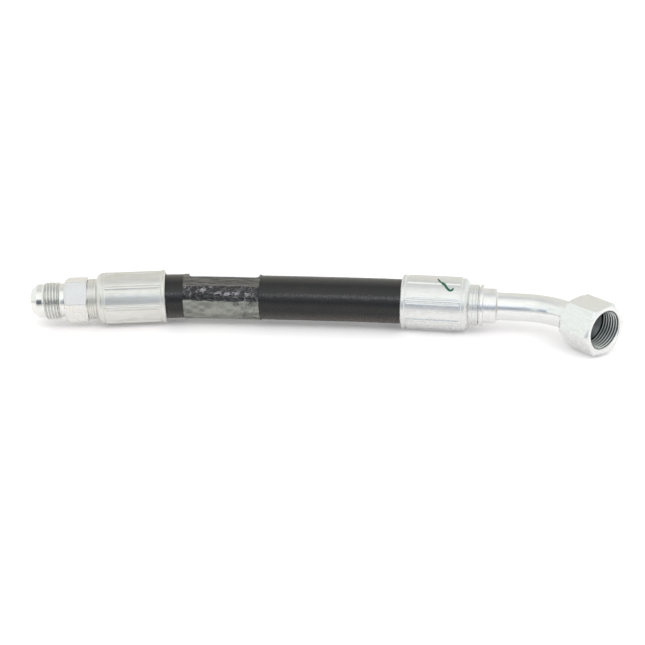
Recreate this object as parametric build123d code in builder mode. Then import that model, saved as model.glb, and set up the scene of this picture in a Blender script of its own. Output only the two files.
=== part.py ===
from build123d import *
import os
from math import cos, sin, tan, radians, pi

# Dash-12 (3/4 in) two-wire hydraulic hose assembly, lying on a flat surface.
# One end is a rigid 37 degree flare male, the other a 45 degree bent tube
# with a 37 degree flare swivel nut. Millimetres, +Z up.
# +X runs from the male end into the hose, along the male end's own axis.

os.makedirs("parts", exist_ok=True)

# ---- where the model stands -------------------------------------------------
X0 = -104.47            # male-end ferrule lip, along X
Y0 = 42.60              # male end's axis, along Y
ZC = 18.90              # height of every axis above the surface

# ---- hose (3/4 in bore, two wire braids) -----------------------------------
HOSE_BORE_R = 9.525
TUBE_LAYER_R = 11.60    # inner rubber tube, outside
BRAID_1_R = 12.30       # inner wire braid, outside
INSULATION_R = 12.65    # rubber between the braids, outside
BRAID_2_R = 13.35       # outer wire braid, outside
HOSE_R = 15.60          # cover, outside
INSERT_DEPTH = 38.0     # hose length inside each ferrule
EXIT = 8.0              # from a ferrule's lip to the first corner of the route
RUNS = [INSERT_DEPTH + EXIT, 50.0, 50.8, 50.0, INSERT_DEPTH + EXIT]
HEADINGS = [0.0, -9.3, -10.0, -10.8, -14.4]   # degrees from +X, per run

# ---- clear film wrapped round the hose near the male end -------------------
FILM_START = 13.0       # from the male-end lip
FILM_END = 68.0
FILM_GAP = 0.05
FILM_T = 0.20

# ---- crimp ferrules ---------------------------------------------------------
FERRULE_R = 18.50       # crimped lands
LIP_R = 18.85           # uncrimped lip at the hose side
RIB_R = 18.868          # raised ribs between the eight crimping dies
RIB_W = 2.2
NECK_R = 14.20
FERRULE_BORE_R = 15.95
STEM_GRIP_R = 10.95     # bore that grips the stem's collar
MALE_CRIMP_END, MALE_SHOULDER_END, MALE_NECK_END = 42.0, 48.2, 54.0
SWIVEL_CRIMP_END, SWIVEL_SHOULDER_END, SWIVEL_NECK_END = 40.8, 46.4, 52.7
MALE_RIB_TURN = -3.0     # clocking of the ribs, degrees
SWIVEL_RIB_TURN = 21.5

# ---- stems ------------------------------------------------------------------
FLOW_R = 7.90           # flow passage through both ends
NIPPLE_R = 9.30         # barbed tail inside the hose
NIPPLE_TIP = 10.0       # depth of the tail's tip, from the lip
BARB_DEPTH = 0.45

# male end: 1 1/16-12 thread, 37 degree flare nose
HEX_AF = 28.58
HEX_START, HEX_END = 54.6, 70.3
RELIEF_R = 11.80
THREAD_R = 13.49
THREAD_START, THREAD_END = 73.8, 84.6
NOSE_END = 93.6
NOSE_TIP_R = 8.70

# swivel end: stop collar, brazed socket, bent tube
COLLAR_START, COLLAR_END, COLLAR_R = 53.6, 56.0, 14.40
SOCKET_END, SOCKET_R = 64.8, 12.0
SOCKET_FLOOR = 57.0
TUBE_R = 9.525
BEND_START = 83.5
BEND_R = 43.0
BEND_ANGLE = 45.0
TUBE_TO_NUT = 6.2       # straight tube between the bend and the nut

# swivel nut: 1 1/16-12 thread, hexagon 1 1/4 in
NUT_AF = 31.75
NUT_L = 25.4
NUT_TURN = -25.0        # clocking of the nut at rest, degrees
NUT_REAR_HOLE_R = 9.85
NUT_REAR_WALL = 2.6
NUT_BORE_R = 11.25
NUT_STEP = 8.2
NUT_RELIEF_END = 11.8
NUT_THREAD_R = 12.50
NUT_MOUTH_CHAMFER = 1.0
SEAT_START, SEAT_END = 2.9, 11.6
SEAT_R = 11.20
SEAT_FLANGE_START, SEAT_FLANGE_R = 8.5, 12.2
TUBE_END = 7.4
WIRE_AT, WIRE_R, WIRE_RING_R = 6.5, 0.95, 11.20

# ---- the hose's route -------------------------------------------------------
points = [(X0 - INSERT_DEPTH, Y0)]
for run, heading in zip(RUNS, HEADINGS):
    x, y = points[-1]
    points.append((x + run * cos(radians(heading)), y + run * sin(radians(heading))))
route = [(x, y, ZC) for x, y in points]
corner_radii = []
for i in range(1, len(RUNS)):
    turn = abs(HEADINGS[i] - HEADINGS[i - 1])
    corner_radii.append(0.45 * min(RUNS[i - 1], RUNS[i]) / tan(radians(turn / 2)))

with BuildLine() as hose_line:
    FilletPolyline(*route, radius=corner_radii)
hose_path = hose_line.wires()[0]

# ---- frames: male end, swivel end, bend and nut ----------------------------
male_lip = Vector(X0, Y0, ZC)
# in this plane x runs outwards along the male end's axis and y is the radius
male_plane = Plane(origin=male_lip, x_dir=(-1, 0, 0), z_dir=(0, 1, 0))
male_axis = Axis(male_lip, (-1, 0, 0))


def male_at(u):
    return Plane(origin=male_lip + Vector(-1, 0, 0) * u, x_dir=(0, 0, 1), z_dir=(-1, 0, 0))


end_dir = Vector(cos(radians(HEADINGS[-1])), sin(radians(HEADINGS[-1])), 0)
side_dir = Vector(sin(radians(HEADINGS[-1])), -cos(radians(HEADINGS[-1])), 0)
swivel_lip = Vector(*route[-2]) + end_dir * EXIT
# x outwards along the swivel end's axis, y towards the inside of the bend
swivel_plane = Plane(origin=swivel_lip, x_dir=end_dir, z_dir=end_dir.cross(side_dir))
swivel_axis = Axis(swivel_lip, end_dir)


def swivel_at(u):
    return Plane(origin=swivel_lip + end_dir * u, x_dir=(0, 0, 1), z_dir=end_dir)


bend = radians(BEND_ANGLE)
nut_dir = end_dir * cos(bend) + side_dir * sin(bend)
nut_side = side_dir * cos(bend) - end_dir * sin(bend)
bend_end = (
    swivel_lip
    + end_dir * (BEND_START + BEND_R * sin(bend))
    + side_dir * (BEND_R * (1 - cos(bend)))
)
nut_rear = bend_end + nut_dir * TUBE_TO_NUT
nut_plane = Plane(origin=nut_rear, x_dir=nut_dir, z_dir=nut_dir.cross(nut_side))
nut_axis = Axis(nut_rear, nut_dir)


def nut_at(w):
    return Plane(origin=nut_rear + nut_dir * w, x_dir=(0, 0, 1), z_dir=nut_dir)


# =============================================================================
# Hose: five concentric layers that follow one route
# =============================================================================
hose_start = Plane(origin=route[0], x_dir=(0, 1, 0), z_dir=(1, 0, 0))

with BuildPart() as hose_inner_tube:
    with BuildSketch(hose_start):
        Circle(TUBE_LAYER_R)
        Circle(HOSE_BORE_R, mode=Mode.SUBTRACT)
    sweep(path=hose_path)
hose_inner_tube.part.label = "hose_inner_tube"
export_step(hose_inner_tube.part, "parts/hose_inner_tube.step")

with BuildPart() as hose_inner_braid:
    with BuildSketch(hose_start):
        Circle(BRAID_1_R)
        Circle(TUBE_LAYER_R, mode=Mode.SUBTRACT)
    sweep(path=hose_path)
hose_inner_braid.part.label = "hose_inner_braid"
export_step(hose_inner_braid.part, "parts/hose_inner_braid.step")

with BuildPart() as hose_insulation_layer:
    with BuildSketch(hose_start):
        Circle(INSULATION_R)
        Circle(BRAID_1_R, mode=Mode.SUBTRACT)
    sweep(path=hose_path)
hose_insulation_layer.part.label = "hose_insulation_layer"
export_step(hose_insulation_layer.part, "parts/hose_insulation_layer.step")

with BuildPart() as hose_outer_braid:
    with BuildSketch(hose_start):
        Circle(BRAID_2_R)
        Circle(INSULATION_R, mode=Mode.SUBTRACT)
    sweep(path=hose_path)
hose_outer_braid.part.label = "hose_outer_braid"
export_step(hose_outer_braid.part, "parts/hose_outer_braid.step")

with BuildPart() as hose_cover:
    with BuildSketch(hose_start):
        Circle(HOSE_R)
        Circle(BRAID_2_R, mode=Mode.SUBTRACT)
    sweep(path=hose_path)
hose_cover.part.label = "hose_cover"
export_step(hose_cover.part, "parts/hose_cover.step")

# Thin clear film, one wrap round the cover. It is cut square to the hose.
film_a = hose_path.position_at((INSERT_DEPTH + FILM_START) / hose_path.length)
film_a_dir = hose_path.tangent_at((INSERT_DEPTH + FILM_START) / hose_path.length)
film_b = hose_path.position_at((INSERT_DEPTH + FILM_END) / hose_path.length)
film_b_dir = hose_path.tangent_at((INSERT_DEPTH + FILM_END) / hose_path.length)
with BuildPart() as film_wrap:
    with BuildSketch(hose_start):
        Circle(HOSE_R + FILM_GAP + FILM_T)
        Circle(HOSE_R + FILM_GAP, mode=Mode.SUBTRACT)
    sweep(path=hose_path)
    split(bisect_by=Plane(origin=film_a, z_dir=film_a_dir), keep=Keep.TOP)
    split(bisect_by=Plane(origin=film_b, z_dir=film_b_dir), keep=Keep.BOTTOM)
film_wrap.part.label = "film_wrap"
export_step(film_wrap.part, "parts/film_wrap.step")

# =============================================================================
# Male end
# =============================================================================
# Crimped ferrule: smooth lip, eight crimped lands with raised ribs between
# them, rounded shoulder, and a neck that grips the stem.
with BuildPart() as male_ferrule:
    with BuildSketch(male_plane):
        with BuildLine():
            Polyline(
                (MALE_NECK_END, STEM_GRIP_R), (MALE_NECK_END, NECK_R - 0.4),
                (MALE_NECK_END - 0.4, NECK_R), (MALE_SHOULDER_END, NECK_R),
            )
            ThreePointArc(
                (MALE_SHOULDER_END, NECK_R),
                (MALE_CRIMP_END + 0.72 * (MALE_SHOULDER_END - MALE_CRIMP_END),
                 NECK_R + 0.68 * (FERRULE_R - NECK_R)),
                (MALE_CRIMP_END, FERRULE_R),
            )
            Polyline(
                (MALE_CRIMP_END, FERRULE_R), (3.4, FERRULE_R), (2.6, LIP_R),
                (0.9, LIP_R), (0, LIP_R - 0.9), (0, FERRULE_BORE_R + 0.6),
                (4.0, FERRULE_BORE_R), (INSERT_DEPTH + 1.0, FERRULE_BORE_R),
                (INSERT_DEPTH + 1.0, STEM_GRIP_R), (MALE_NECK_END, STEM_GRIP_R),
            )
        make_face()
    revolve(axis=male_axis)
    with BuildSketch(male_at(4.2)):
        with PolarLocations((FERRULE_R - 0.8 + RIB_R) / 2, 8, start_angle=MALE_RIB_TURN):
            Rectangle(RIB_R - FERRULE_R + 0.8, RIB_W)
    extrude(amount=MALE_CRIMP_END - 4.2 - 0.6)
male_ferrule.part.label = "male_ferrule"
export_step(male_ferrule.part, "parts/male_ferrule.step")

# One turned piece: flare nose, thread, hexagon, grip collar and barbed tail.
nose_start = NOSE_END - (RELIEF_R - NOSE_TIP_R) / tan(radians(37))
with BuildPart() as male_stem:
    with BuildSketch(male_at(HEX_START)):
        RegularPolygon(radius=HEX_AF / 2, side_count=6, major_radius=False, rotation=36.7)
    extrude(amount=HEX_END - HEX_START)
    with BuildSketch(male_plane):
        with BuildLine():
            Polyline(
                (HEX_START, 0), (HEX_START, 14.9), (HEX_START + 0.9, 16.6),
                (HEX_END - 1.5, 16.6), (HEX_END, 13.9), (HEX_END, 0), (HEX_START, 0),
            )
        make_face()
    revolve(axis=male_axis, mode=Mode.INTERSECT)
    with BuildSketch(male_plane):
        with BuildLine():
            Polyline(
                (NIPPLE_TIP, 0), (NIPPLE_TIP, NIPPLE_R - 0.9), (NIPPLE_TIP + 1.8, NIPPLE_R),
                (INSERT_DEPTH + 1.2, NIPPLE_R), (INSERT_DEPTH + 1.2, STEM_GRIP_R - 0.05),
                (MALE_NECK_END - 3.2, STEM_GRIP_R - 0.05), (MALE_NECK_END - 3.2, STEM_GRIP_R - 0.6),
                (MALE_NECK_END + 0.05, STEM_GRIP_R - 0.6), (MALE_NECK_END + 0.05, 13.0),
                (HEX_START + 0.2, 13.0), (HEX_START + 0.2, RELIEF_R), (THREAD_START, RELIEF_R),
                (THREAD_START + 1.0, THREAD_R), (THREAD_END - 1.0, THREAD_R),
                (THREAD_END, RELIEF_R), (nose_start, RELIEF_R), (NOSE_END, NOSE_TIP_R),
                (NOSE_END, 0), (NIPPLE_TIP, 0),
            )
        make_face()
    revolve(axis=male_axis)
    # barbs along the tail
    with BuildSketch(male_plane):
        for i in range(6):
            with BuildLine():
                u = NIPPLE_TIP + 4.0 + 3.9 * i
                Polyline(
                    (u, NIPPLE_R + 0.2), (u, NIPPLE_R - BARB_DEPTH),
                    (u + 2.4, NIPPLE_R + 0.05), (u + 2.4, NIPPLE_R + 0.2), (u, NIPPLE_R + 0.2),
                )
            make_face()
    revolve(axis=male_axis, mode=Mode.SUBTRACT)
    # flow passage with a broken edge at the nose
    with BuildSketch(male_plane):
        with BuildLine():
            Polyline(
                (NIPPLE_TIP - 1, 0), (NIPPLE_TIP - 1, FLOW_R), (NOSE_END - 0.4, FLOW_R),
                (NOSE_END + 0.2, FLOW_R + 0.6), (NOSE_END + 0.2, 0), (NIPPLE_TIP - 1, 0),
            )
        make_face()
    revolve(axis=male_axis, mode=Mode.SUBTRACT)
male_stem.part.label = "male_stem"
export_step(male_stem.part, "parts/male_stem.step")

# =============================================================================
# Swivel end
# =============================================================================
with BuildPart() as swivel_ferrule:
    with BuildSketch(swivel_plane):
        with BuildLine():
            Polyline(
                (SWIVEL_NECK_END, STEM_GRIP_R), (SWIVEL_NECK_END, NECK_R - 0.4),
                (SWIVEL_NECK_END - 0.4, NECK_R), (SWIVEL_SHOULDER_END, NECK_R),
            )
            ThreePointArc(
                (SWIVEL_SHOULDER_END, NECK_R),
                (SWIVEL_CRIMP_END + 0.72 * (SWIVEL_SHOULDER_END - SWIVEL_CRIMP_END),
                 NECK_R + 0.68 * (FERRULE_R - NECK_R)),
                (SWIVEL_CRIMP_END, FERRULE_R),
            )
            Polyline(
                (SWIVEL_CRIMP_END, FERRULE_R), (3.4, FERRULE_R), (2.6, LIP_R),
                (0.9, LIP_R), (0, LIP_R - 0.9), (0, FERRULE_BORE_R + 0.6),
                (4.0, FERRULE_BORE_R), (INSERT_DEPTH + 1.0, FERRULE_BORE_R),
                (INSERT_DEPTH + 1.0, STEM_GRIP_R), (SWIVEL_NECK_END, STEM_GRIP_R),
            )
        make_face()
    revolve(axis=swivel_axis)
    with BuildSketch(swivel_at(4.2)):
        with PolarLocations((FERRULE_R - 0.8 + RIB_R) / 2, 8, start_angle=SWIVEL_RIB_TURN):
            Rectangle(RIB_R - FERRULE_R + 0.8, RIB_W)
    extrude(amount=SWIVEL_CRIMP_END - 4.2 - 0.6)
swivel_ferrule.part.label = "swivel_ferrule"
export_step(swivel_ferrule.part, "parts/swivel_ferrule.step")

# Barbed tail, grip collar, stop collar and the socket that takes the tube.
with BuildPart() as swivel_stem:
    with BuildSketch(swivel_plane):
        with BuildLine():
            Polyline(
                (NIPPLE_TIP, FLOW_R), (NIPPLE_TIP, NIPPLE_R - 0.9), (NIPPLE_TIP + 1.8, NIPPLE_R),
                (INSERT_DEPTH + 1.2, NIPPLE_R), (INSERT_DEPTH + 1.2, STEM_GRIP_R - 0.05),
                (SWIVEL_NECK_END - 3.2, STEM_GRIP_R - 0.05), (SWIVEL_NECK_END - 3.2, STEM_GRIP_R - 0.6),
                (SWIVEL_NECK_END + 0.05, STEM_GRIP_R - 0.6), (SWIVEL_NECK_END + 0.05, 12.6),
                (COLLAR_START, 12.6), (COLLAR_START, COLLAR_R - 0.5), (COLLAR_START + 0.5, COLLAR_R),
                (COLLAR_END - 0.5, COLLAR_R), (COLLAR_END, COLLAR_R - 0.5), (COLLAR_END, SOCKET_R),
                (SOCKET_END - 0.8, SOCKET_R), (SOCKET_END, SOCKET_R - 0.8), (SOCKET_END, TUBE_R + 0.03),
                (SOCKET_FLOOR, TUBE_R + 0.03), (SOCKET_FLOOR, FLOW_R), (NIPPLE_TIP, FLOW_R),
            )
        make_face()
    revolve(axis=swivel_axis)
    with BuildSketch(swivel_plane):
        for i in range(6):
            with BuildLine():
                u = NIPPLE_TIP + 4.0 + 3.9 * i
                Polyline(
                    (u, NIPPLE_R + 0.2), (u, NIPPLE_R - BARB_DEPTH),
                    (u + 2.4, NIPPLE_R + 0.05), (u + 2.4, NIPPLE_R + 0.2), (u, NIPPLE_R + 0.2),
                )
            make_face()
    revolve(axis=swivel_axis, mode=Mode.SUBTRACT)
swivel_stem.part.label = "swivel_stem"
export_step(swivel_stem.part, "parts/swivel_stem.step")

# 3/4 in tube with one 45 degree bend
tube_start = swivel_lip + end_dir * (SOCKET_FLOOR + 0.05)
with BuildPart() as bent_tube:
    with BuildLine() as tube_line:
        a = Line(tube_start, swivel_lip + end_dir * BEND_START)
        b = ThreePointArc(
            a @ 1,
            swivel_lip
            + end_dir * (BEND_START + BEND_R * sin(bend / 2))
            + side_dir * (BEND_R * (1 - cos(bend / 2))),
            bend_end,
        )
        Line(b @ 1, nut_rear + nut_dir * TUBE_END)
    with BuildSketch(swivel_at(SOCKET_FLOOR + 0.05)):
        Circle(TUBE_R)
        Circle(FLOW_R, mode=Mode.SUBTRACT)
    sweep(path=tube_line.wires()[0])
bent_tube.part.label = "bent_tube"
export_step(bent_tube.part, "parts/bent_tube.step")

# braze fillet where the tube enters the stem's socket
with BuildPart() as socket_braze_ring:
    with BuildSketch(swivel_plane):
        with BuildLine():
            Polyline(
                (SOCKET_END + 0.02, TUBE_R + 0.03), (SOCKET_END + 1.1, TUBE_R + 0.03),
                (SOCKET_END + 0.45, TUBE_R + 0.45), (SOCKET_END + 0.02, TUBE_R + 1.2),
                (SOCKET_END + 0.02, TUBE_R + 0.03),
            )
        make_face()
    revolve(axis=swivel_axis)
socket_braze_ring.part.label = "socket_braze_ring"
export_step(socket_braze_ring.part, "parts/socket_braze_ring.step")

# Seat sleeve on the tube's end: 37 degree seat, wire groove, front flange
seat_depth = (11.0 - FLOW_R) / tan(radians(37))
with BuildPart() as flare_seat_sleeve:
    with BuildSketch(nut_plane):
        with BuildLine():
            Polyline(
                (SEAT_START, TUBE_R + 0.03), (SEAT_START, SEAT_R),
                (WIRE_AT - 1.0, SEAT_R), (WIRE_AT - 1.0, SEAT_R - 1.0),
                (WIRE_AT + 1.0, SEAT_R - 1.0), (WIRE_AT + 1.0, SEAT_R),
                (SEAT_FLANGE_START, SEAT_R), (SEAT_FLANGE_START, SEAT_FLANGE_R),
                (SEAT_END - 0.4, SEAT_FLANGE_R), (SEAT_END, SEAT_FLANGE_R - 0.4),
                (SEAT_END, 11.0), (SEAT_END - seat_depth, FLOW_R),
                (TUBE_END + 0.02, FLOW_R), (TUBE_END + 0.02, TUBE_R + 0.03),
                (SEAT_START, TUBE_R + 0.03),
            )
        make_face()
    revolve(axis=nut_axis)
flare_seat_sleeve.part.label = "flare_seat_sleeve"
export_step(flare_seat_sleeve.part, "parts/flare_seat_sleeve.step")

# Hexagon nut: chamfered at both ends, rear hole round the tube, wire groove,
# relief round the seat, then the thread (drawn at its minor diameter).
with BuildPart() as swivel_nut:
    with BuildSketch(nut_at(0)):
        RegularPolygon(radius=NUT_AF / 2, side_count=6, major_radius=False, rotation=NUT_TURN)
    extrude(amount=NUT_L)
    with BuildSketch(nut_plane):
        with BuildLine():
            Polyline(
                (0, 0), (0, 16.3), (1.3, 18.6), (NUT_L - 1.5, 18.6), (NUT_L, 15.9),
                (NUT_L, 0), (0, 0),
            )
        make_face()
    revolve(axis=nut_axis, mode=Mode.INTERSECT)
    with BuildSketch(nut_plane):
        with BuildLine():
            Polyline(
                (-1, 0), (-1, NUT_REAR_HOLE_R), (NUT_REAR_WALL, NUT_REAR_HOLE_R),
                (NUT_REAR_WALL, NUT_BORE_R), (WIRE_AT - 1.0, NUT_BORE_R),
                (WIRE_AT - 1.0, NUT_BORE_R + 0.95), (WIRE_AT + 1.0, NUT_BORE_R + 0.95),
                (WIRE_AT + 1.0, NUT_BORE_R), (NUT_STEP, NUT_BORE_R),
                (NUT_STEP, THREAD_R + 0.2), (NUT_RELIEF_END, THREAD_R + 0.2),
                (NUT_RELIEF_END, NUT_THREAD_R), (NUT_L - NUT_MOUTH_CHAMFER, NUT_THREAD_R),
                (NUT_L, NUT_THREAD_R + NUT_MOUTH_CHAMFER), (NUT_L + 1, NUT_THREAD_R + NUT_MOUTH_CHAMFER),
                (NUT_L + 1, 0), (-1, 0),
            )
        make_face()
    revolve(axis=nut_axis, mode=Mode.SUBTRACT)
swivel_nut.part.label = "swivel_nut"
export_step(swivel_nut.part, "parts/swivel_nut.step")

# Round wire that locks the nut to the seat sleeve and lets it turn
with BuildPart() as nut_retaining_wire:
    with BuildSketch(nut_plane):
        with Locations((WIRE_AT, WIRE_RING_R)):
            Circle(WIRE_R)
    revolve(axis=nut_axis)
nut_retaining_wire.part.label = "nut_retaining_wire"
export_step(nut_retaining_wire.part, "parts/nut_retaining_wire.step")

# ---- the route's radii, and the tube's volume against section times length --
print("hose route corner radii mm", [round(r) for r in corner_radii])
print("hose route length mm", round(hose_path.length, 2))
for name, part, r1, r0 in [
    ("hose_cover", hose_cover.part, HOSE_R, BRAID_2_R),
    ("hose_inner_tube", hose_inner_tube.part, TUBE_LAYER_R, HOSE_BORE_R),
]:
    print(name, "volume / (section x length)", round(part.volume / (pi * (r1**2 - r0**2) * hose_path.length), 5))
print("route", [tuple(round(c, 3) for c in p) for p in route])
print("swivel lip", swivel_lip, "end dir", end_dir)
print("bend end", bend_end, "nut rear", nut_rear, "nut dir", nut_dir)
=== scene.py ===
import math

import bpy
import numpy as np
from mathutils import Matrix, Vector

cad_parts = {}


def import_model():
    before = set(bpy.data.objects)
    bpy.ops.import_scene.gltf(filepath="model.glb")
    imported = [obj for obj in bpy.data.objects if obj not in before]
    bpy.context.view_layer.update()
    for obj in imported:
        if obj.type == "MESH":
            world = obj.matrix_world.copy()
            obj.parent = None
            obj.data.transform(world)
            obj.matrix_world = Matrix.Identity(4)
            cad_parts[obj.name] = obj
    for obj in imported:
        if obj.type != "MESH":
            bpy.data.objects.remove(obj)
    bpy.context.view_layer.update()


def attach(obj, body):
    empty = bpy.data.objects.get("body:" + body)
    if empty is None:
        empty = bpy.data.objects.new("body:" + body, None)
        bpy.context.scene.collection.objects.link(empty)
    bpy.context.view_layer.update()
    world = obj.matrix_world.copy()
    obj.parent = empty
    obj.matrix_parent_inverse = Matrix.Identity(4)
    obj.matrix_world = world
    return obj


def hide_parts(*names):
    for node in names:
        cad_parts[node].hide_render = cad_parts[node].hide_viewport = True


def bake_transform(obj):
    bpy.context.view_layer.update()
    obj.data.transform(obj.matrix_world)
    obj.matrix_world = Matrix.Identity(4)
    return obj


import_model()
MM = 0.001
scene = bpy.context.scene
scene.view_settings.view_transform = "Standard"
scene.view_settings.look = "None"
scene.view_settings.exposure = 0.0
scene.view_settings.gamma = 1.0


# =============================================================================
# Camera
# =============================================================================
def make_camera():
    az, el, roll = math.radians(3.695), math.radians(21.688), math.radians(-0.885)
    fwd = Vector((math.sin(az) * math.cos(el), math.cos(az) * math.cos(el), -math.sin(el)))
    right = Vector((math.cos(az), -math.sin(az), 0))
    up = right.cross(fwd)
    r = right * math.cos(roll) + up * math.sin(roll)
    u = -right * math.sin(roll) + up * math.cos(roll)
    data = bpy.data.cameras.new("camera")
    data.sensor_fit = "HORIZONTAL"
    data.sensor_width = 36.0
    data.lens = 65.293
    data.clip_start, data.clip_end = 0.01, 100
    data.dof.use_dof = False
    cam = bpy.data.objects.new("camera", data)
    scene.collection.objects.link(cam)
    m = Matrix((r, u, -fwd)).transposed().to_4x4()
    m.translation = Vector((-0.044851, -0.740962, 0.306368))
    cam.matrix_world = m
    scene.camera = cam


make_camera()

# =============================================================================
# The hose's route. z is the height of every axis above the floor.
# =============================================================================
ZC = 0.0189
ROUTE = [
    (-0.14247, 0.04250, ZC),
    (-0.09647, 0.04350, ZC),
    (-0.047127, 0.03452, ZC),
    (0.002901, 0.025698, ZC),
    (0.052015, 0.016329, ZC),
    (0.09657, 0.00489, ZC),
]


def route_curve():
    data = bpy.data.curves.new("hose_route", "CURVE")
    data.dimensions = "3D"
    data.resolution_u = 96
    spline = data.splines.new("NURBS")
    spline.points.add(len(ROUTE) - 1)
    for p, q in zip(spline.points, ROUTE):
        p.co = (*q, 1)
    spline.order_u = 3
    spline.use_endpoint_u = True
    return bpy.data.objects.new("hose_route", data)


route_object = route_curve()
route_mesh = bpy.data.meshes.new_from_object(route_object)
LINE = np.array([v.co for v in route_mesh.vertices], float)
bpy.data.meshes.remove(route_mesh)
bpy.data.objects.remove(route_object)
if LINE[0][0] > LINE[-1][0]:
    LINE = LINE[::-1]
LINE_S = np.concatenate([[0], np.cumsum(np.linalg.norm(np.diff(LINE, axis=0), axis=1))])
ROUTE_LENGTH = float(LINE_S[-1])

# where the two ferrules' lips stand, and the frames of the two ends
MALE_LIP = np.array([-0.10447, 0.0426, ZC])
MALE_AXIS = np.array([-1.0, 0.0, 0.0])
SWIVEL_LIP = np.array([0.059764, 0.0143399, ZC])
SWIVEL_AXIS = np.array([0.968583, -0.24869, 0.0])
SIDE_DIR = np.array([-0.24869, -0.968583, 0.0])
NUT_REAR = np.array([0.170115, -0.0315226, ZC])
NUT_AXIS = np.array([0.509041, -0.860742, 0.0])
UP = np.array([0.0, 0.0, 1.0])


def line_at(s):
    """Point and tangent of the route at distances s in metres."""
    s = np.clip(np.asarray(s, float), 0, ROUTE_LENGTH)
    p = np.stack([np.interp(s, LINE_S, LINE[:, i]) for i in range(3)], -1)
    e = 0.0015
    a = np.stack([np.interp(np.clip(s - e, 0, None), LINE_S, LINE[:, i]) for i in range(3)], -1)
    b = np.stack([np.interp(np.clip(s + e, None, ROUTE_LENGTH), LINE_S, LINE[:, i]) for i in range(3)], -1)
    t = b - a
    t /= np.linalg.norm(t, axis=-1, keepdims=True)
    return p, t


# distance along the route at which each lip stands
MALE_LIP_S = float(np.interp(MALE_LIP[0], LINE[:, 0], LINE_S))
_k = int(np.argmin(np.linalg.norm(LINE - SWIVEL_LIP, axis=1)))
SWIVEL_LIP_S = float(LINE_S[_k])


# =============================================================================
# Noise that is the same each run, and repeats round a tube
# =============================================================================
class Grid:
    """Smooth value noise on a lattice; the second coordinate wraps after ny cells."""

    def __init__(self, seed, nx=256, ny=64):
        self.v = np.random.RandomState(seed).rand(nx, ny)

    def __call__(self, x, y):
        nx, ny = self.v.shape
        x, y = np.broadcast_arrays(np.asarray(x, float), np.asarray(y, float))
        xi, yi = np.floor(x).astype(int), np.floor(y).astype(int)
        fx, fy = x - xi, y - yi
        fx, fy = fx * fx * (3 - 2 * fx), fy * fy * (3 - 2 * fy)
        g = lambda a, b: self.v[a % nx, b % ny]
        return (g(xi, yi) * (1 - fx) * (1 - fy) + g(xi + 1, yi) * fx * (1 - fy)
                + g(xi, yi + 1) * (1 - fx) * fy + g(xi + 1, yi + 1) * fx * fy) * 2 - 1


def smooth(a, b, x):
    t = np.clip((x - a) / (b - a), 0, 1)
    return t * t * (3 - 2 * t)


# =============================================================================
# Meshes
# =============================================================================
def mesh_from_grid(name, points, local, loop_rows=True):
    """A closed torus-like mesh from points[row, column, xyz]; both directions wrap."""
    n, m = points.shape[:2]
    idx = np.arange(n * m).reshape(n, m)
    a = idx
    b = np.roll(idx, -1, 0)
    c = np.roll(b, -1, 1)
    d = np.roll(idx, -1, 1)
    quads = np.stack([a, b, c, d], -1).reshape(-1, 4)
    # outside faces outwards
    flat = points.reshape(-1, 3)
    p = flat[quads]
    vol = np.einsum("ij,ij->i", p[:, 0], np.cross(p[:, 1], p[:, 2])).sum()
    vol += np.einsum("ij,ij->i", p[:, 0], np.cross(p[:, 2], p[:, 3])).sum()
    if vol < 0:
        quads = quads[:, ::-1]
    return raw_mesh(name, flat, quads, local.reshape(-1, 3))


def raw_mesh(name, verts, quads, local=None):
    me = bpy.data.meshes.new(name)
    me.vertices.add(len(verts))
    me.vertices.foreach_set("co", np.ascontiguousarray(verts, np.float32).ravel())
    k = quads.shape[1]
    me.loops.add(len(quads) * k)
    me.loops.foreach_set("vertex_index", np.ascontiguousarray(quads, np.int32).ravel())
    me.polygons.add(len(quads))
    me.polygons.foreach_set("loop_start", np.arange(0, len(quads) * k, k, dtype=np.int32))
    me.polygons.foreach_set("use_smooth", np.ones(len(quads), bool))
    me.update(calc_edges=True)
    if local is not None:
        at = me.attributes.new("local", "FLOAT_VECTOR", "POINT")
        at.data.foreach_set("vector", np.ascontiguousarray(local, np.float32).ravel())
    me.validate()
    ob = bpy.data.objects.new(name, me)
    scene.collection.objects.link(ob)
    return ob


def rounded(points, arc=4):
    """Profile points (u, r, fillet radius) of a closed loop, in mm, with each corner rounded.
    A short support step at each side of a corner keeps the flats flat when shaded."""
    out = []
    n = len(points)
    for i in range(n):
        p0 = np.array(points[i - 1][:2], float)
        p1 = np.array(points[i][:2], float)
        p2 = np.array(points[(i + 1) % n][:2], float)
        f = points[i][2] if len(points[i]) > 2 else 0.08
        a, b = p0 - p1, p2 - p1
        la, lb = np.linalg.norm(a), np.linalg.norm(b)
        if la < 1e-9 or lb < 1e-9:
            continue
        a, b = a / la, b / lb
        ang = math.acos(max(-1, min(1, float(a @ b))))
        if f <= 0 or abs(ang - math.pi) < 0.02:
            out.append(p1)
            continue
        tl = f / math.tan(ang / 2)
        lim = 0.42 * min(la, lb)
        if tl > lim:
            tl = lim
            f = tl * math.tan(ang / 2)
        centre = p1 + (a + b) / np.linalg.norm(a + b) * (f / math.sin(ang / 2))
        t1, t2 = p1 + a * tl, p1 + b * tl
        sup = min(0.10, 0.12 * min(la, lb))
        out.append(t1 + a * sup)
        v1, v2 = t1 - centre, t2 - centre
        sweep = math.atan2(v1[0] * v2[1] - v1[1] * v2[0], float(v1 @ v2))
        for k in range(arc + 1):
            t = sweep * k / arc
            c, s = math.cos(t), math.sin(t)
            out.append(centre + np.array([c * v1[0] - s * v1[1], s * v1[0] + c * v1[1]]))
        out.append(t2 + b * sup)
    return np.array(out)


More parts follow.
